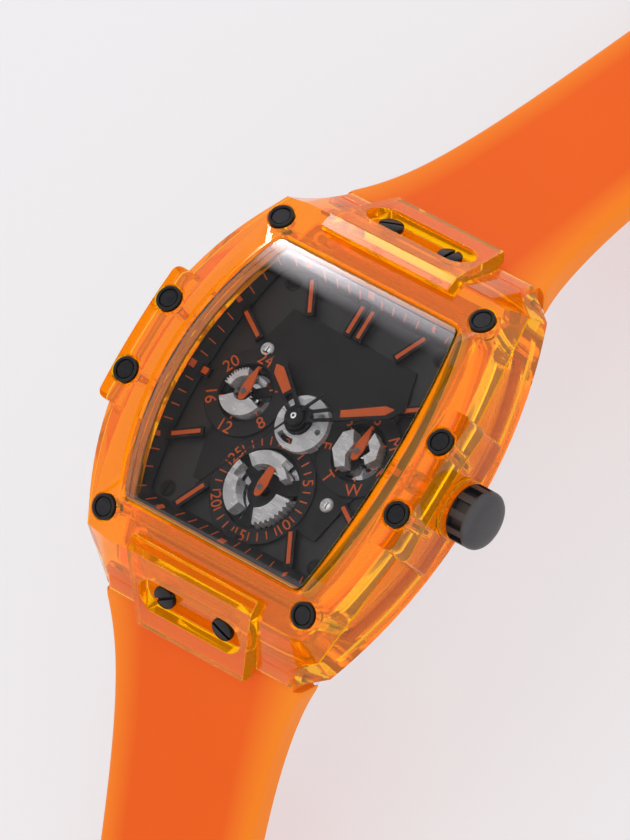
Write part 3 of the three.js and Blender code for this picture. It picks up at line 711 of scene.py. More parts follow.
def both_ends(maker):
    """A shape at the 12 o'clock end, and its twin at the 6 o'clock end."""
    first = maker()
    return [first, half_turned_copy(first)]


def hood_screw_room(x):
    return on_slope(disc(0.85, -5.2, 3, sides=24), x)


def hood_tools():
    """Tools that leave a clearance beside and under both hoods, and room for their screws."""
    tools = both_ends(lambda: hood_blank(GAP))
    tools += both_ends(lambda: shifted(hood_blank(GAP), 0, -0.16, -0.12))
    for side in (-1, 1):
        tools += both_ends(lambda s=side: hood_screw_room(s * HOOD_SCREW_X))
    return tools


def shoulder_height(y):
    """Height of the edge between the bezel's sloping shoulder and its flank."""
    return front(y, SHOULDER_DROP * (1 - min(1.0, abs(y) / 20.7) ** 2))


def seal_groove():
    """Rings of the seal groove in the bezel's lower face, from the inside out."""
    inner, outer = (outline(**JOINT_SEAL[side]) for side in ("inner", "outer"))
    deep = BEZEL_FOOT - JOINT_SEAL["deep"]
    return [
        on_front(inner, BEZEL_FOOT),
        on_front(inner, deep),
        on_front(outer, deep),
        on_front(outer, BEZEL_FOOT),
    ]


def build_bezel():
    crystal_room = dict(w=CRYSTAL["w"] + 0.12, l=CRYSTAL["l"] + 0.12, r=CRYSTAL["r"])
    lip = dict(w=CRYSTAL["w"] + 0.4, l=CRYSTAL["l"] + 0.4, r=CRYSTAL["r"], fillet=1.0)
    body = loft([
        skin_ring(lambda y: front(y, BEZEL_FOOT)),
        skin_ring(shoulder_height),
        on_front(outline(**SHOULDER)),
        on_front(outline(**lip)),
        on_front(outline(**crystal_room), 0.3),
        on_front(outline(**crystal_room), SEAT_DEPTH),
        on_front(outline(**OPENING), SEAT_DEPTH),
        on_front(outline(**OPENING), BEZEL_FOOT),
        *seal_groove(),
    ], closed=True)
    levels = [(EAR["back"], 7), (EAR["front"], EAR["front_z"])]
    body = weld(body, *[common(ear, arc_slab(0.015, BEZEL_FOOT)) for ear in ears(levels)])
    body = cut(body, *hood_tools(), *[bezel_screw_room(x, y) for x, y in BEZEL_SCREWS])
    piece(body, "bezel_shell", CLEAR, "head", ["bezel"], bevel=0.09)


def strap_pocket():
    """Room for a strap half's round root, its band and its bar."""
    y, z = BAR
    half, radius = 13.6, 2.4
    below = box((-half, half), (y - radius, 32), (-6, z))
    return weld(rod(radius, -half, half, y, z, 40), below, rod(1.05, -15.1, 15.1, y, z, 24))


def crown_bore(radius, x0, x1, sides=40):
    return rod(radius, x0, x1, z=CROWN_Z, sides=sides)


def rib_rings():
    """Rings of the shallow grooves round the cavity's wall."""
    rings = []
    for bottom, top in RIB_LEVELS:
        for form, z in ((CAVITY, bottom), (RIB_ROOM, bottom), (RIB_ROOM, top), (CAVITY, top)):
            rings.append(at_height(outline(**form), z))
    return rings


def build_case():
    z_bottom, z_step = HEAD[0]["z"], 1.4
    body = loft([
        skin_ring(lambda y: front(y, CASE_TOP)),
        at_height(HEAD_OUTLINES[1], HEAD[1]["z"]),
        at_height(HEAD_OUTLINES[0], z_bottom),
        at_height(outline(**BACK_ROOM), z_bottom),
        at_height(outline(**BACK_ROOM), z_step),
        at_height(outline(**CAVITY), z_step),
        *rib_rings(),
        on_front(outline(**CAVITY), CASE_TOP),
    ], closed=True)
    levels = [(EAR["foot"], EAR["foot_z"]), (EAR["back"], EAR["back_z"]), (EAR["front"], EAR["front_z"])]
    body = weld(body, *[common(ear, arc_slab(CASE_TOP + 0.01)) for ear in ears(levels)])
    screws = [bezel_screw_room(x, y) for x, y in BEZEL_SCREWS]
    crown = [crown_bore(3.8, 21.0, 30.0, 64), crown_bore(1.3, 10.0, 25.0)]
    back = [disc(0.85, -1, 4.8, x, y, 24) for x, y in BACK_SCREWS]
    body = cut(body, *both_ends(strap_pocket), *hood_tools(), *screws, *crown, *back)
    piece(body, "case_shell", CLEAR, "head", ["case_middle"], bevel=0.1)


def build_spacer():
    """An orange ring on the cavity's wall that holds the dial, seen through the clear flanks."""
    outside = prism(outline(w=15.97, l=16.27, r=50.0), 1.5, 9.75)
    inside = prism(outline(w=15.84, l=16.14, r=50.0), 0, 11)
    ring = cut(cut(outside, inside), crown_bore(1.4, 10.0, 25.0))
    piece(ring, "dial_spacer", MOULDING, "head")


def stadium(half_length, half_width, steps=12):
    """A slot's outline along X with round ends."""
    points = []
    for side, first in ((1, -90), (-1, 90)):
        for i in range(steps + 1):
            turn = math.radians(first + 180 * i / steps)
            x = side * (half_length - half_width) + half_width * math.cos(turn)
            points.append((x, half_width * math.sin(turn)))
    return points


def hood():
    slot = stadium(RECESS["half_length"], RECESS["half_width"])
    recess = on_slope(prism(slot, -RECESS["depth"], 3), 0)
    rooms = [hood_screw_room(side * HOOD_SCREW_X) for side in (-1, 1)]
    return cut(hood_blank(), recess, *rooms)


def build_hoods():
    for turn, hour in ((0, "12"), (180, "6")):
        body, node = turned(hood(), turn), f"hood_{hour}"
        piece(body, f"{node}_shell", CLEAR, "head", [node], bevel=0.14, segments=3)


def build_crystal():
    pane = common(prism(outline(**CRYSTAL), 6, 15), arc_slab(0.1, 2.1))
    piece(pane, "crystal_pane", GLASS, "head", ["crystal"], bevel=0.22)


# ------------------------------------------------------------------ screws and crown

def bezel_screw():
    """A dished head with a raised rim, on its shank."""
    return lathe([
        (0, -6.0), (0.55, -6.0), (0.55, -0.9), (1.36, -0.9), (1.48, -0.78), (1.48, 0.06),
        (1.44, 0.13), (1.36, 0.19), (1.22, 0.19), (1.14, 0.15), (1.1, -0.14), (1.02, -0.14),
        (0.97, 0.02), (0.6, 0.03), (0, 0.035),
    ], 64)


def build_bezel_screws():
    for i, (x, y) in enumerate(BEZEL_SCREWS, 1):
        name = f"bezel_screw_{i}"
        body = at_front(bezel_screw(), x, y)
        piece(body, f"{name}_turned", BLACK, "head", [name], sharp=60)


def hood_screw(angle):
    body = lathe([
        (0, -4.7), (0.55, -4.7), (0.55, -1.3), (1.25, -1.3), (1.4, -1.15), (1.4, -0.66),
        (1.34, -0.56), (1.22, -0.5), (0, -0.47),
    ])
    body = cut(body, box((-3, 3), (-0.2, 0.2), (-0.95, 1)))
    return turned(body, angle)


def build_hood_screws():
    """Each screw's slot stands at its own angle, as after assembly."""
    places = [(turn, side) for turn in (0, 180) for side in (-1, 1)]
    for number, (turn, side) in enumerate(places):
        body = turned(on_slope(hood_screw(40 + 57 * number), side * HOOD_SCREW_X), turn)
        node = f"hood_screw_{number + 1}"
        piece(body, f"{node}_slotted", BLACK, "head", [node], bevel=0.05)


def on_crown_axis(obj):
    """Lays a piece that is built along +Z on the crown's axis."""
    return shifted(turned(obj, 90, "Y"), z=CROWN_Z)


def build_crown():
    """A castle crown with notches round its rim and a smooth domed front, and its collar."""
    body = lathe([
        (0, 21.9), (2.9, 21.9), (3.2, 22.05), (3.35, 22.3), (3.35, 24.4), (3.28, 24.75), (3.05, 25.05),
        (2.6, 25.28), (1.8, 25.42), (0.9, 25.48), (0, 25.5),
    ], 96)
    step = 360 / CROWN_NOTCHES
    notches = [turned(box((-5, -2.6), (-0.6, 0.6), (22.3, 24.2)), step * i) for i in range(CROWN_NOTCHES)]
    body = on_crown_axis(cut(body, disc(1.9, 20, 23.9), *notches))
    piece(body, "crown_castle", CROWN_BLACK, "crown", ["crown"], bevel=0.12, segments=3)
    collar = on_crown_axis(lathe([
        (1.4, 21.15), (3.4, 21.15), (3.5, 21.25), (3.5, 21.55), (3.4, 21.65), (1.4, 21.65),
    ], 64))
    piece(collar, "collar_ring", CLEAR, "head", ["crown_collar"], bevel=0.08)


# ------------------------------------------------------------------ dial

HUB = (0.5, -0.2)  # middle of the opening round the hands' axis
CENTRE_PLATE = [
    (-9.8, 6.3), (-9.9, -5.6), (-8.5, -10.6), (9.0, -10.5), (10.3, -4.7), (10.1, 6.8), (9.0, 10.4),
    (-8.6, 10.4),
]
# Outer and inner radius of each raised ring.
SUBDIAL_SIZE = {"24h": (5.0, 3.3), "date": (6.3, 4.6), "day": (5.0, 3.3)}


def clock(angle, radius, x=0.0, y=0.0):
    """A point at a clock angle and a radius from x, y."""
    turn = math.radians(angle)
    return x + radius * math.sin(turn), y + radius * math.cos(turn)


def radial_bar(angle, r0, r1, width, z0, z1, at=(0.0, 0.0), shift=0.0):
    """A bar along a clock angle between two radii, moved sideways by a shift."""
    bar = box((shift - width / 2, shift + width / 2), (r0, r1), (z0, z1))
    return shifted(turned(bar, -angle), at[0], at[1])


def dial_openings():
    """The holes through both dial plates, at the hub and under each sub-dial."""
    holes = [disc(3.25, 0, 20, *HUB, 64)]
    for name, centre in SUBDIALS.items():
        holes.append(disc(SUBDIAL_SIZE[name][1], 0, 20, centre.x, centre.y, 64))
    return holes


def build_dial():
    plate = prism(outline(w=15.7, l=16.0, r=50.0), low("dial").z, DIAL_Z)
    piece(cut(plate, *dial_openings()), "dial_base", DIAL, "head", ["dial"])
    node = "dial_centre_plate"
    centre = cut(prism(CENTRE_PLATE, low(node).z, high(node).z + 0.06), *dial_openings())
    piece(centre, "dial_centre", CENTRE, "head", [node], bevel=0.05)


def chapter_point(angle, share):
    """A point on the chapter ring's slope: share 0 at its foot and 1 at its rim."""
    ends = []
    for form in (FOOT, RIM):
        inside, outside = 5.0, 25.0
        for _ in range(30):
            radius = (inside + outside) / 2
            x, y = clock(angle, radius)
            fits = abs(y) <= form["l"] and abs(x) <= bow(form["w"], form["r"], min(abs(y), form["l"]))
            inside, outside = (radius, outside) if fits else (inside, radius)
        ends.append(Vector(clock(angle, inside)))
    flat = ends[0].lerp(ends[1], share)
    return Vector((flat.x, flat.y, FOOT_Z + (RIM_Z - FOOT_Z) * share))


def on_chapter(angle, share0, share1, width, rise=0.05):
    """A printed mark on the chapter ring's slope."""
    a, b = chapter_point(angle, share0), chapter_point(angle, share1)
    along = (b - a).normalized()
    side = along.cross(Vector((0, 0, 1))).normalized() * width / 2
    up = side.cross(along).normalized() * rise
    if up.z < 0:
        up.negate()
    base = [a - side, a + side, b + side, b - side]
    return loft([[v - up * 0.3 for v in base], [v + up for v in base]])


# Clock angle, sideways shift, inner and outer end of each baton.
BATONS = [
    (0, -0.72, 10.65, 14.2), (0, 0.72, 10.65, 14.2), (30, 0, 12.35, 16.3), (60, 0, 11.8, 15.3),
    (120, 0, 11.8, 15.3), (150, 0, 12.5, 16.3), (210, 0, 12.5, 16.3), (240, 0, 11.8, 15.3),
    (300, 0, 11.8, 15.3), (330, 0, 12.35, 16.3),
]
BATON_Z = (7.0, 7.55)
SQUARE_REACH = (13.35, 14.15)


def foot_reach(angle):
    """How far the chapter ring's foot is from the hands' axis at a clock angle."""
    point = chapter_point(angle, 0.0)
    return math.hypot(point.x, point.y)


def build_chapter():
    wall = prism(outline(w=15.8, l=16.1, r=50.0), low("chapter_ring").z, RIM_Z)
    bowl = loft([
        at_height(outline(**FOOT), 5.0),
        at_height(outline(**FOOT), FOOT_Z),
        at_height(outline(**RIM), RIM_Z + 0.01),
    ])
    date = SUBDIALS["date"]
    ring = cut(wall, bowl, disc(6.5, 0, SUBDIAL_Z + 0.2, date.x, date.y, 64))
    piece(ring, "chapter_slope", CHAPTER, "head", ["chapter_ring"], bevel=0.05)


def build_batons():
    """The hour markers: black frames with orange inlays. At 6 o'clock only a short frame is left."""
    inlay_z = (BATON_Z[1] - 0.1, BATON_Z[1] + 0.05)
    frames, inlays = [], []
    for angle, shift, inner, outer in BATONS:
        reach = foot_reach(angle)
        frames.append(radial_bar(angle, inner - 0.3, reach + 0.45, 1.08, *BATON_Z, shift=shift))
        inlays.append(radial_bar(angle, inner, min(outer, reach - 0.1), 0.48, *inlay_z, shift=shift))
    for angle in (90, 270):
        frames.append(radial_bar(angle, SQUARE_REACH[0] - 0.2, 15.2, 1.15, *BATON_Z))
        inlays.append(radial_bar(angle, *SQUARE_REACH, 0.78, *inlay_z))
    frames.append(radial_bar(180, 13.75, 14.6, 1.4, *BATON_Z))
    piece(together(frames), "baton_frames", HAND_BLACK, "head", bevel=0.06)
    piece(together(inlays), "baton_inlays", LUME, "head", bevel=0.04)


def build_minute_track():
    """A thin mark for each minute and a broad one for each hour, printed on the chapter ring."""
    marks = []
    for minute in range(60):
        share0, share1, width = (0.28, 0.78, 0.13) if minute % 5 else (0.62, 0.98, 0.85)
        marks.append(on_chapter(6 * minute, share0, share1, width))
    piece(together(marks), "chapter_marks", LUME, "head")


def build_dial_screws():
    z = DIAL_Z
    screws, seats = [], []
    for sx in (-1, 1):
        for sy in (-1, 1):
            place = (10.6 * sx, 12.9 * sy)
            head = lathe([(0, z - 0.1), (0.72, z - 0.1), (0.78, z + 0.12), (0.7, z + 0.2), (0, z + 0.2)])
            slot = turned(box((-1, 1), (-0.09, 0.09), (z + 0.08, 8)), 35 + 50 * sx * sy)
            screws.append(shifted(cut(head, slot), *place))
            seats.append(shifted(ring_disc(0.8, 0.98, z, z + 0.05), *place))
    piece(together(screws), "dial_screws", HAND_BLACK, "head")
    piece(together(seats), "dial_screw_seats", CENTRE, "head")


def build_eyelets():
    """Two polished eyelets on the centre plate, each with a jewel."""
    z = high("dial_centre_plate").z
    eyelets, jewels = [], []
    for place in ((-8.8, 5.2), (7.95, -6.5)):
        rim = [(0.8, z - 0.1), (0.8, z + 0.12), (0.68, z + 0.3), (0.5, z + 0.3), (0.38, z + 0.1)]
        eyelets.append(shifted(lathe([(0.36, z - 0.1)] + rim), *place))
        jewel = lathe([(0, z - 0.05), (0.4, z - 0.05), (0.36, z + 0.08), (0, z + 0.16)])
        jewels.append(shifted(jewel, *place))
    piece(together(eyelets), "dial_eyelets", PLATE, "head")
    piece(together(jewels), "dial_jewels", MIRROR, "head")


def glyphs(text, size, height=0.03):
    """Text as a mesh that lies face up, centred on the origin."""
    curve = bpy.data.curves.new("text", "FONT")
    curve.body = text
    curve.size = size * MM
    curve.extrude = height * MM / 2
    curve.align_x = "CENTER"
    curve.align_y = "CENTER"
    source = bpy.data.objects.new("text", curve)
    scene.collection.objects.link(source)
    obj = loose(evaluated_mesh(source))
    bpy.data.objects.remove(source)
    xs, ys = ([v.co[axis] for v in obj.data.vertices] for axis in (0, 1))
    return shifted(obj, *[-(min(span) + max(span)) / 2 / MM for span in (xs, ys)])


def label(text, angle, radius, size, centre):
    """A label turned so that it reads upright in both halves of its sub-dial."""
    upright = angle if angle < 100 or angle > 260 else angle + 180
    x, y = clock(angle, radius)
    return shifted(turned(glyphs(text, size), -upright), centre.x + x, centre.y + y, SUBDIAL_Z)


def build_subdial(name, labels, label_radius, size, ticks, tick_reach, clear=0):
    """A sub-dial's raised ring and its printing, without the ticks within clear degrees of a label."""
    centre, node = SUBDIALS[name], f"subdial_{name}"
    outer, inner = SUBDIAL_SIZE[name]
    foot, edge, top = low("subdial_date").z, SUBDIAL_Z - 0.06, SUBDIAL_Z
    ring = lathe([
        (inner, foot), (outer, foot), (outer, edge), (outer - 0.08, top), (inner + 0.06, top),
        (inner, edge),
    ], 96)
    piece(shifted(ring, centre.x, centre.y), f"{node}_ring", RING, "head", [node])
    marks = []
    for i in range(ticks):
        angle = 360 * i / ticks
        if all(abs((angle - a + 180) % 360 - 180) >= clear for _, a in labels):
            marks.append(radial_bar(angle, *tick_reach, 0.15, top - 0.02, top + 0.02, centre))
    marks += [label(text, angle, label_radius, size, centre) for text, angle in labels]
    piece(together(marks), f"{node}_print", LUME, "head")


def sunk_ring(name, bars, bar_width, hub):
    """The dark inner ring under a sub-dial, joined by bars to a hub under its hand."""
    centre = SUBDIALS[name]
    inner = SUBDIAL_SIZE[name][1]
    z0, z1 = DIAL_Z - 0.55, DIAL_Z - 0.3
    parts = [
        ring_disc(inner - 0.55, inner + 0.2, z0, z1, 64),
        ring_disc(0.62, hub, z0 + 0.02, z1 + 0.12),
    ]
    for angle in bars:
        parts.append(radial_bar(angle, hub - 0.2, inner - 0.4, bar_width, z0 + 0.03, z1 + 0.06))
    body = together([shifted(part, centre.x, centre.y) for part in parts])
    piece(body, f"subdial_{name}_bridge", CENTRE, "head", bevel=0.05)


def build_subdials():
    hours = [(str(hour), 15 * hour % 360) for hour in (24, 4, 8, 12, 16, 20)]
    build_subdial("24h", hours, 4.16, 1.95, 6, (2.78, 3.22))
    weekdays = [(letter, 360 * i / 7) for i, letter in enumerate("SMTWTFS")]
    build_subdial("day", weekdays, 4.17, 1.95, 7, (2.78, 3.22))
    dates = [(str(day), 360 * day / 31 % 360) for day in (31, 5, 10, 15, 20, 25)]
    build_subdial("date", dates, 5.42, 1.8, 31, (4.95, 5.9), clear=5)
    sunk_ring("24h", (55, 235), 1.2, 1.0)
    sunk_ring("day", (20, 200), 1.0, 1.0)
    sunk_ring("date", (60, 180, 300), 1.8, 2.1)


def annular_sector(centre, r0, r1, start, stop, z0, z1, steps=20):
    """A plate between two radii and two clock angles."""
    angles = [start + (stop - start) * i / steps for i in range(steps + 1)]
    points = [clock(a, r1) for a in angles] + [clock(a, r0) for a in reversed(angles)]
    return shifted(prism(points, z0, z1), centre.x, centre.y)


def toothed_sector(centre, r0, r1, start, stop, z0, z1, pitch=7.5, deep=0.28):
    """A segment of a gear between two clock angles, with its teeth outwards."""
    teeth = int((stop - start) / pitch)
    step = (stop - start) / teeth
    rim = []
    for i in range(teeth):
        first = start + i * step
        rim += [clock(first, r1 - deep), clock(first + 0.2 * step, r1), clock(first + 0.5 * step, r1)]
        rim.append(clock(first + 0.7 * step, r1 - deep))
    inner = [clock(stop - (stop - start) * i / 16, r0) for i in range(17)]
    return shifted(prism(rim + inner, z0, z1), centre.x, centre.y)


DAY_COCKS = [
    [(-2.7, -1.0), (-1.2, -2.6), (-0.2, -2.0), (-0.9, -0.9), (-0.7, 0.4), (-1.6, 1.9), (-2.6, 1.1)],
    [(0.9, 2.6), (2.3, 1.7), (2.7, 0.1), (1.9, -0.9), (1.2, -0.2), (1.6, 0.6), (0.8, 1.4)],
]
LEVERS = [
    ("date", [
        (-1.6, 2.4), (-0.9, 3.1), (-1.5, 3.9), (-0.6, 3.5), (0.0, 4.2), (0.1, 3.2), (0.8, 2.6), (-0.2, 2.7),
    ]),
    ("day", [(-1.7, -0.4), (-1.0, 0.3), (-1.4, 1.2), (-0.6, 0.9), (-0.4, -0.2), (-0.9, -1.2)]),
    ("24h", [(-1.0, -2.3), (-0.4, -1.6), (0.5, -1.8), (1.4, -1.2), (0.9, -2.1), (0.0, -2.5)]),
]
# Sub-dial, clock angle and radius of each stud.
STUDS = [("date", 232, 3.5), ("date", 340, 3.4), ("date", 8, 3.3), ("24h", 150, 2.1), ("day", 250, 2.0)]


def cock(centre, points, z0, z1):
    """A small bridge with a free outline, given about a sub-dial's centre."""
    return shifted(prism(points, z0, z1), centre.x, centre.y)


def build_bridges(z0, z1):
    """Nickel bridges and gear segments in the dial's openings."""
    day_24, date, day = (SUBDIALS[name] for name in ("24h", "date", "day"))
    hub = cut(
        disc(3.2, z0, z1, *HUB, 64),
        disc(1.7, 0, 20),
        disc(0.42, 0, 20, *clock(60, 2.6), 24),
        disc(0.35, 0, 20, *clock(95, 2.8), 24),
        annular_sector(Vector((0, 0, 0)), 2.1, 2.75, 165, 215, 0, 20),
    )
    bridges = [
        hub,
        annular_sector(day_24, 1.15, 2.85, 108, 232, z0, z1),
        toothed_sector(day_24, 1.7, 2.6, 268, 345, z0, z1),
        annular_sector(date, 2.55, 4.1, -52, 18, z0, z1),
        annular_sector(date, 2.45, 3.3, 18, 50, z0, z1),
        annular_sector(date, 2.75, 4.25, 205, 268, z0, z1),
        annular_sector(date, 3.6, 4.2, 268, 292, z0, z1),
        toothed_sector(date, 2.4, 4.3, 86, 160, z0, z1),
        *[cock(day, points, z0, z1) for points in DAY_COCKS],
    ]
    piece(together(bridges), "dial_side_bridges", PLATE, "head", bevel=0.1, segments=3)


def build_levers(z):
    """Small black levers and studs at the bridges' lower faces."""
    parts = []
    for name, angle, radius in STUDS:
        stud = lathe([
            (0.18, z - 0.05), (0.4, z - 0.05), (0.4, z + 0.12), (0.3, z + 0.18), (0.18, z + 0.1),
        ], 32)
        parts.append(shifted(stud, *clock(angle, radius, *SUBDIALS[name].xy)))
    parts += [cock(SUBDIALS[name], points, z, z + 0.12) for name, points in LEVERS]
    piece(together(parts), "movement_levers", HAND_BLACK, "head", bevel=0.03)


def build_movement_view():
    """The bridges reach from under the dial to just above the wheels' arbors, past the small hands."""
    over, under = high("wheel_date").z + 0.08, DIAL_Z - 0.62
    build_bridges(over, under)
    build_levers(under)


# ------------------------------------------------------------------ hands

HOUR_HAND = dict(
    half=1.12, length=8.1, root=0.7, tip=1.25, window=(1.7, 3.2), lume=(3.6, 7.2), hub=1.6, bore=1.1,
)
MINUTE_HAND = dict(
    half=1.0, length=12.9, root=0.62, tip=1.7, window=(1.75, 4.7), lume=(5.3, 11.65), hub=1.3, bore=0.6,
)


def pointer_outline(points):
    """A symmetric outline from its right-hand points."""
    return points + [(-x, y) for x, y in reversed(points) if x > 0]


def framed_hand(spec, z0, z1):
    """A skeleton hand that points along +Y: its frame and the lume block in it."""
    half, length, tip = spec["half"], spec["length"], spec["tip"]
    edge = 0.46
    outer = pointer_outline([(spec["root"], 0.0), (half, length - tip), (0.16, length)])
    window = pointer_outline([(0.32, spec["window"][0]), (0.42, spec["window"][1])])
    start, end = spec["lume"]
    lume = pointer_outline([(half - edge - 0.1, start), (half - edge, end - tip * 0.6), (0.08, end)])
    body = cut(prism(outer, z0, z1), prism(window, z0 - 1, z1 + 1), prism(lume, z0 - 1, z1 + 1))
    body = weld(body, disc(spec["hub"], z0 - 0.02, z1 + 0.02))
    body = cut(body, disc(0.4, z0 - 1, z1 + 1))
    block = prism([(x * 0.97, y) for x, y in lume], z0 + 0.03, z1 - 0.02)
    return body, block


def build_framed_hand(name, angle, spec):
    node = f"{name}_hand"
    z0, z1 = high(node).z - 0.25, high(node).z
    hand, block = framed_hand(spec, z0, z1)
    pipe = ring_disc(spec["bore"], spec["hub"] * 0.8, low(node).z, z0 + 0.05)
    hand = turned(together([hand, pipe]), -angle)
    piece(hand, f"{node}_frame", HAND_BLACK, name, [node], bevel=0.06)
    piece(turned(block, -angle), f"{node}_lume", LUME, name, bevel=0.04)


def build_second_hand(angle):
    z0, z1 = high("second_hand").z - 0.15, high("second_hand").z
    needle = prism([(-0.1, 0), (0.1, 0), (0.055, 13.0), (-0.055, 13.0)], z0, z1 - 0.03)
    tail = prism([(-0.17, -3.9), (0.17, -3.9), (0.2, 0), (-0.2, 0)], z0, z1 - 0.02)
    cap = lathe([
        (0.3, z0 - 0.1), (1.05, z0 - 0.1), (1.1, z1 - 0.1), (1.0, z1), (0.42, z1), (0.38, z1 - 0.06),
    ], 64)
    arbor = disc(0.28, low("second_hand").z, z1 - 0.1, sides=24)
    hand = turned(together([needle, tail, cap, arbor]), -angle)
    piece(hand, "second_hand_needle", HAND_BLACK, "second", ["second_hand"])
    pin = lathe([
        (0.14, z1 - 0.2), (0.36, z1 - 0.2), (0.36, z1 + 0.04), (0.28, z1 + 0.1), (0.16, z1 + 0.06),
    ])
    piece(pin, "second_hand_pin", MIRROR, "second")


def build_small_hand(name, length):
    centre, node, body = SUBDIALS[name], f"hand_{name}", f"small_{name}"
    z0, z1 = high(node).z - 0.2, high(node).z
    half = [(0.0, -1.05), (0.32, -0.9), (0.48, -0.5), (0.64, 0.5), (0.46, length * 0.55), (0.09, length)]
    leaf = cut(prism(pointer_outline(half), z0, z1), disc(0.2, z0 - 1, z1 + 1, sides=24))
    leaf = shifted(leaf, centre.x, centre.y)
    piece(leaf, f"{node}_leaf", LUME, body, [node], bevel=0.05)
    pin = lathe([
        (0.1, z1 - 0.35), (0.3, z1 - 0.35), (0.3, z1 + 0.03), (0.24, z1 + 0.08), (0.12, z1 + 0.05),
    ], 32)
    piece(shifted(pin, centre.x, centre.y), f"{node}_pin", MIRROR, body)


def build_hands():
    build_framed_hand("hour", 305, HOUR_HAND)
    build_framed_hand("minute", 61.5, MINUTE_HAND)
    build_second_hand(208.5)
    for name, length in (("24h", 3.15), ("date", 4.0), ("day", 3.15)):
        build_small_hand(name, length)


# ------------------------------------------------------------------ strap

ROOT = dict(y=BAR[0], z=BAR[1], radius=2.1, half=13.3, slope=43.0)
# Half widths: narrow at the far end, with a flare that fades away from the head, up to the widest.
STRAP = dict(neck=12.0, thick=4.0, end_thick=3.0, narrow=9.9, flare=5.3, fade=9.2, widest=14.1)
FLOOR_Z = low("strap_6").z
STRAP_12 = dict(slope=36.0, bend=12.0, flat=20.0, top=FLOOR_Z + 1.4 + GAP + 3.0)
STRAP_6 = dict(slope=39.3, bend=16.0, flat=52.0, top=FLOOR_Z + 3.0)
HOLES = 8
HOLE_STEP = 6.5


def leg_steps(length, start, stop, steps):
    """Short steps along one leg, whose slope below level changes evenly."""
    for i in range(steps):
        mid = math.radians(start + (stop - start) * (i + 0.5) / steps)
        yield length / steps, mid, start + (stop - start) * (i + 1) / steps


def root_top():
    """Where the strap's top surface leaves its round root, as (y, z)."""
    lean = math.radians(ROOT["slope"])
    return ROOT["y"] + ROOT["radius"] * math.sin(lean), ROOT["z"] + ROOT["radius"] * math.cos(lean)


def strap_stations(spec):
    """Points along the strap's top surface from its root: distance, y, z and slope."""
    y, z = root_top()
    neck = (STRAP["neck"], ROOT["slope"], spec["slope"], 5)
    curve = (spec["bend"], spec["slope"], 0.0, 5)
    drop = sum(s * math.sin(mid) for leg in (neck, curve) for s, mid, _ in leg_steps(*leg))
    straight = (z - spec["top"] - drop) / math.sin(math.radians(spec["slope"]))
    legs = [neck, (straight, spec["slope"], spec["slope"], 3), curve, (spec["flat"], 0.0, 0.0, 4)]
    stations = [(0.0, y, z, ROOT["slope"])]
    for length, start, stop, steps in legs:
        for step, mid, slope in leg_steps(length, start, stop, steps * 6):
            s, y, z, _ = stations[-1]
            stations.append((s + step, y + step * math.cos(mid), z - step * math.sin(mid), slope))
    return stations


def strap_section(width, thick, edge=1.0, steps=5):
    """The strap's section as (x, height over the top) points, with soft corners and a flat top."""
    edge = min(edge, thick * 0.42, width * 0.5)
    points = []
    low_n = edge - thick
    for sx, centre_n, first in ((1, -edge, 90), (1, low_n, 0), (-1, low_n, -90), (-1, -edge, 180)):
        for i in range(steps + 1):
            turn = math.radians(first - 90 * i / steps)
            points.append((sx * (width - edge) + edge * math.cos(turn), centre_n + edge * math.sin(turn)))
    return points + [((edge - width) * (1 - 2 * i / 8), 0.0) for i in range(1, 8)]


def strap_ring(station, total, taper=1.0):
    """The strap's section at a station, square to the strap."""
    s, y, z, slope = station
    width = min(STRAP["widest"], STRAP["narrow"] + STRAP["flare"] * math.exp(-s / STRAP["fade"])) * taper
    share = min(1.0, s / (total / 2))
    thick = STRAP["thick"] + (STRAP["end_thick"] - STRAP["thick"]) * share
    lean = math.radians(slope)
    return [(x, y + n * math.sin(lean), z + n * math.cos(lean)) for x, n in strap_section(width, thick)]


def strap_root():
    """The round end that turns on the strap bar, and the web that joins it to the band."""
    half = ROOT["half"]
    drum = rod(ROOT["radius"], -half, half, ROOT["y"], ROOT["z"], 48)
    lean = math.radians(ROOT["slope"])
    top = Vector(root_top())
    base = Vector((2 * ROOT["y"] - top.x, 2 * ROOT["z"] - top.y))
    ahead = top + Vector((math.cos(lean), -math.sin(lean))) * 2.4
    below = ahead + Vector((-math.sin(lean), -math.cos(lean))) * 4.0
    return weld(drum, crosswise([tuple(p) for p in (top, base, below, ahead)], -half, half))


def strap_body(spec, tip=()):
    """A strap half with the bore for its bar, and the y and z where its top ends before the tip."""
    stations = strap_stations(spec)
    total = stations[-1][0]
    rings = [strap_ring(station, total) for station in stations if station[0] > 1.5]
    s, y, z, slope = stations[-1]
    for reach, taper in tip:
        rings.append(strap_ring((s, y + reach, z, slope), total, taper))
    band = weld(loft(rings), strap_root())
    return cut(band, rod(1.05, -20, 20, ROOT["y"], ROOT["z"])), y, z


def build_strap_12():
    """The buckle half, whose end is a loop round the buckle's bar with a slot for the tongue."""
    band, y, z = strap_body(STRAP_12)
    radius = STRAP["end_thick"] / 2
    axis_z = z - radius
    loop = rod(radius, -STRAP["narrow"], STRAP["narrow"], y, axis_z, 48)
    slot = box((-1.3, 1.3), (y - 3, y + 5), (axis_z - 5, axis_z + 5))
    body = cut(weld(band, loop), rod(0.95, -20, 20, y, axis_z), slot)
    piece(body, "strap_12_band", SILICONE, "strap_12", ["strap_12"], sharp=40)


def build_strap_6():
    """The half with the holes and a rounded tip."""
    band, y, z = strap_body(STRAP_6, [(2, 0.965), (3.5, 0.91), (5, 0.8), (6.2, 0.66), (7, 0.5)])
    holes = [disc(1.1, z - 6, z + 3, 0, y - 15 - HOLE_STEP * i, 40) for i in range(HOLES)]
    body = turned(cut(band, *holes), 180)
    piece(body, "strap_6_band", SILICONE, "strap_6", ["strap_6"], sharp=40)


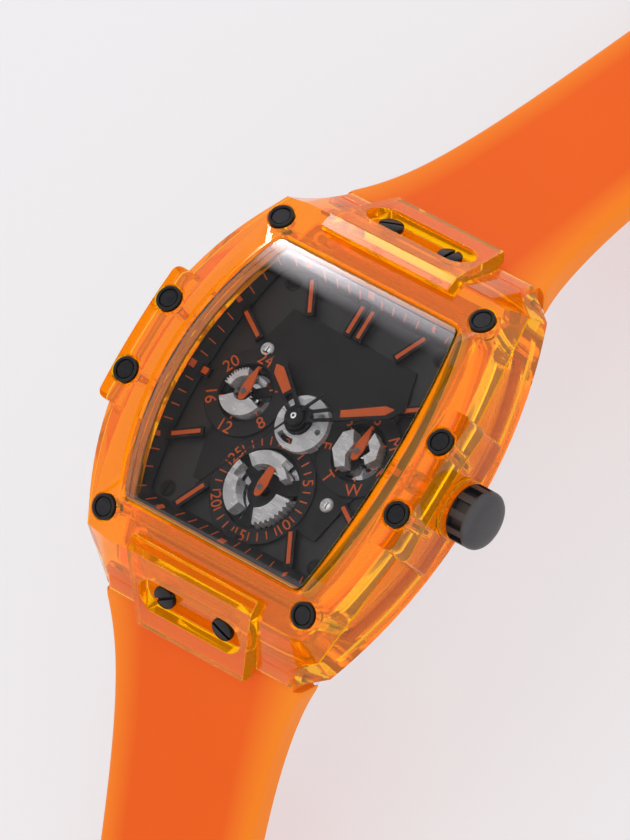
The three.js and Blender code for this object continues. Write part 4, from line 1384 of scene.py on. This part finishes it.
def rounded_rectangle(half_x, z0, z1, fillet, steps=6):
    points = []
    for cx, cz, first in ((half_x, z1, 90), (half_x, z0, 0), (-half_x, z0, -90), (-half_x, z1, 180)):
        x = cx - math.copysign(fillet, cx)
        z = cz - fillet if cz == z1 else cz + fillet
        for i in range(steps + 1):
            turn = math.radians(first - 90 * i / steps)
            points.append((x + fillet * math.cos(turn), z + fillet * math.sin(turn)))
    return points


def build_keeper(node, body):
    """A closed band round the strap with softened rims."""
    lo, hi = low(node), high(node)
    wall, soft, width = 1.4, 0.35, hi.y - lo.y
    rings = []
    for at, inset in ((0.0, soft), (soft, 0.0), (width - soft, 0.0), (width, soft)):
        section = rounded_rectangle(hi.x - inset, lo.z + inset, hi.z - inset, 1.7)
        rings.append([(x, lo.y + at, z) for x, z in section])
    for at in (width, 0.0):
        section = rounded_rectangle(hi.x - wall, lo.z + wall, hi.z - wall, 0.8)
        rings.append([(x, lo.y + at, z) for x, z in section])
    piece(loft(rings, closed=True), f"{node}_loop", SILICONE, body, [node], sharp=50)


BUCKLE = dict(outer=12.2, inner=10.2, start=-1.9, reach=13.5, bar=2.4, half=1.5, tilt=6.8)


def build_buckle():
    """A black frame with rounded corners and edges, built about its bar's axis and tilted into place."""
    outer, inner, half = BUCKLE["outer"], BUCKLE["inner"], BUCKLE["half"]
    start, reach = BUCKLE["start"], BUCKLE["reach"]
    end = reach - BUCKLE["bar"]
    blank = prism(rounded_rectangle(outer, start, reach, 2.6), -half, half)
    middle_y = (start + reach) / 2
    side = [(y + middle_y, z) for y, z in rounded_rectangle((reach - start) / 2, -half, half, 1.2)]
    window = prism(rounded_rectangle(inner, -6.0, end, 1.3), -5, 5)
    rest = box((-1.05, 1.05), (end - 1, reach + 1), (half - 0.4, 5))
    bar_hole = rod(0.95, 0.6 - outer, outer - 0.6)
    body = cut(common(blank, crosswise(side, -20, 20)), window, rest, bar_hole)
    body = shifted(turned(body, -BUCKLE["tilt"], "X"), *middle("buckle_bar"))
    piece(body, "buckle_rounded", BLACK, "buckle", ["buckle_frame"], bevel=0.22, segments=3)


# ------------------------------------------------------------------ carried-over CAD nodes

CARRIED = [
    (SILVER, 0.05, ["winding_stem", "crown_tube", "setting_lever"]),
    (SILVER, 0.05, ["strap_bar_12", "strap_bar_6", "buckle_bar"]),
    (PLATE, 0.08, ["movement_plate", "movement_bridge", "battery"]),
    (MIRROR, 0.03, ["hour_wheel", "wheel_24h", "wheel_date", "wheel_day"]),
    (RUBBER, 0.05, ["crown_gasket"]),
    (MOULDING, 0.05, ["movement_holder"]),
    (GASKET, 0.05, ["crystal_gasket", "case_back_gasket"]),
    (COPPER, 0.05, ["stepper_coil"]),
    (BLACK, 0.3, ["buckle_tongue"]),
]


def finish_cad_nodes():
    """The CAD nodes whose shapes are right keep them and get a material and soft edges."""
    for material, bevel, nodes in CARRIED:
        for node in nodes:
            carried(node, material, bevel)


# ------------------------------------------------------------------ stage

FLOOR_HALF = 3000.0
CAMERA_RIGHT = Vector((0.7482, 0.5185, -0.4139))
CAMERA_UP = Vector((-0.3980, 0.8500, 0.3452))
CAMERA_BACK = Vector((0.5308, -0.0936, 0.8423))
CARD = dict(centre=(-372, 42, 600), size=(150, 660))
SOFTBOX = dict(centre=(-372, 351, 497), size=(60, 98), strength=42.0)
SOFTBOX_ACROSS = [(0.2, (1.0, 0.97, 0.98)), (0.5, (0.32, 0.31, 0.32)), (0.95, (0.05, 0.05, 0.05))]
SOFTBOX_ALONG = [(0.1, (0.0, 0.0, 0.0)), (0.5, (0.16, 0.155, 0.16)), (0.9, (1.0, 0.94, 0.96))]


def sheet(half_x, half_y, z=0.0):
    return shape([(-half_x, -half_y, z), (half_x, -half_y, z), (half_x, half_y, z), (-half_x, half_y, z)],
                 [(0, 1, 2, 3)])


def floor():
    obj = sheet(FLOOR_HALF, FLOOR_HALF, FLOOR_Z - 0.02)
    nodes = Nodes("studio_floor")
    nodes.colour(nodes.noise(3, 2), (0.43, 0.425, 0.43), (0.44, 0.435, 0.44))
    nodes.set(Roughness=0.9, Specular_IOR_Level=0.0)
    nodes.set(Emission_Color=(1.0, 0.985, 1.0, 1), Emission_Strength=0.43)
    obj.name = "floor"
    obj.data.materials.append(nodes.material)


def key_lamp(direction, distance, size, power):
    """A soft square lamp in a direction from the watch."""
    data = bpy.data.lights.new("key", "AREA")
    data.shape = "RECTANGLE"
    data.size, data.size_y = size * MM, size * MM
    data.energy = power
    obj = bpy.data.objects.new("key", data)
    target = Vector((0, 0, 8)) * MM
    obj.location = target + Vector(direction).normalized() * distance * MM
    obj.rotation_euler = (target - obj.location).to_track_quat("-Z", "Y").to_euler()
    scene.collection.objects.link(obj)


def panel(name, centre, size, material):
    """A flat studio panel that faces the watch, out of the camera's sight."""
    obj = sheet(size[0] / 2, size[1] / 2)
    obj.name = name
    obj.data.materials.append(material)
    place = Vector(centre) * MM
    ahead = (Vector((0, 0, 12 * MM)) - place).normalized()
    across = (ahead * ahead.x - Vector((1, 0, 0))).normalized()
    turn = Matrix((across, ahead.cross(across), ahead)).transposed().to_4x4()
    moved(obj, Matrix.Translation(place) @ turn)
    obj.visible_camera = False


def softbox_light():
    """Brightest at one corner, and faded towards the opposite edges."""
    nodes = Nodes("softbox_light")
    generated = nodes.new("ShaderNodeTexCoord").outputs["Generated"]
    split = nodes.new("ShaderNodeSeparateXYZ")
    nodes.link(generated, split.inputs["Vector"])
    both = nodes.new("ShaderNodeMix", data_type="RGBA", blend_type="MULTIPLY")
    both.inputs["Factor"].default_value = 1.0
    nodes.link(nodes.ramp(split.outputs["X"], SOFTBOX_ACROSS), both.inputs[6])
    nodes.link(nodes.ramp(split.outputs["Y"], SOFTBOX_ALONG), both.inputs[7])
    glow = nodes.new("ShaderNodeEmission")
    glow.inputs["Strength"].default_value = SOFTBOX["strength"]
    nodes.link(both.outputs[2], glow.inputs["Color"])
    nodes.link(glow.outputs["Emission"], nodes.output.inputs["Surface"])
    return nodes.material


def card_grey():
    nodes = Nodes("studio_card")
    nodes.colour(nodes.noise(4, 2), (0.10, 0.10, 0.105), (0.12, 0.12, 0.125))
    nodes.set(Roughness=0.9)
    return nodes.material


def studio():
    world = bpy.data.worlds.new("studio")
    world.use_nodes = True
    background = world.node_tree.nodes["Background"]
    background.inputs["Color"].default_value = (0.985, 0.98, 0.99, 1)
    background.inputs["Strength"].default_value = 1.04
    scene.world = world
    panel("studio_card", CARD["centre"], CARD["size"], card_grey())
    panel("softbox", SOFTBOX["centre"], SOFTBOX["size"], softbox_light())
    key_lamp((-0.9, 0.35, 0.45), distance=900, size=500, power=0.35)


def camera():
    """The photograph's view, from above the dial and to its right, through a long lens."""
    data = bpy.data.cameras.new("camera")
    data.sensor_width = 36.0
    data.lens = 410.0
    data.clip_start = 0.01
    data.clip_end = 50.0
    obj = bpy.data.objects.new("camera", data)
    turn = Matrix((CAMERA_RIGHT, CAMERA_UP, CAMERA_BACK)).transposed().to_4x4()
    eye = Vector((0, 0, 7.0)) + CAMERA_BACK * 1028.6 + CAMERA_RIGHT * 1.05 + CAMERA_UP * 0.594
    obj.matrix_world = Matrix.Translation(eye * MM) @ turn
    scene.collection.objects.link(obj)
    scene.camera = obj


def main():
    build_bezel()
    build_case()
    build_case_back()
    build_hoods()
    build_crystal()
    build_spacer()
    build_bezel_screws()
    build_hood_screws()
    build_crown()
    build_dial()
    build_chapter()
    build_batons()
    build_minute_track()
    build_dial_screws()
    build_eyelets()
    build_subdials()
    build_movement_view()
    build_hands()
    build_strap_12()
    build_strap_6()
    build_keeper("keeper_fixed", "strap_12")
    build_keeper("keeper_sliding", "free_keeper")
    build_buckle()
    finish_cad_nodes()
    floor()
    studio()
    camera()
    scene.view_settings.view_transform = "Standard"


main()
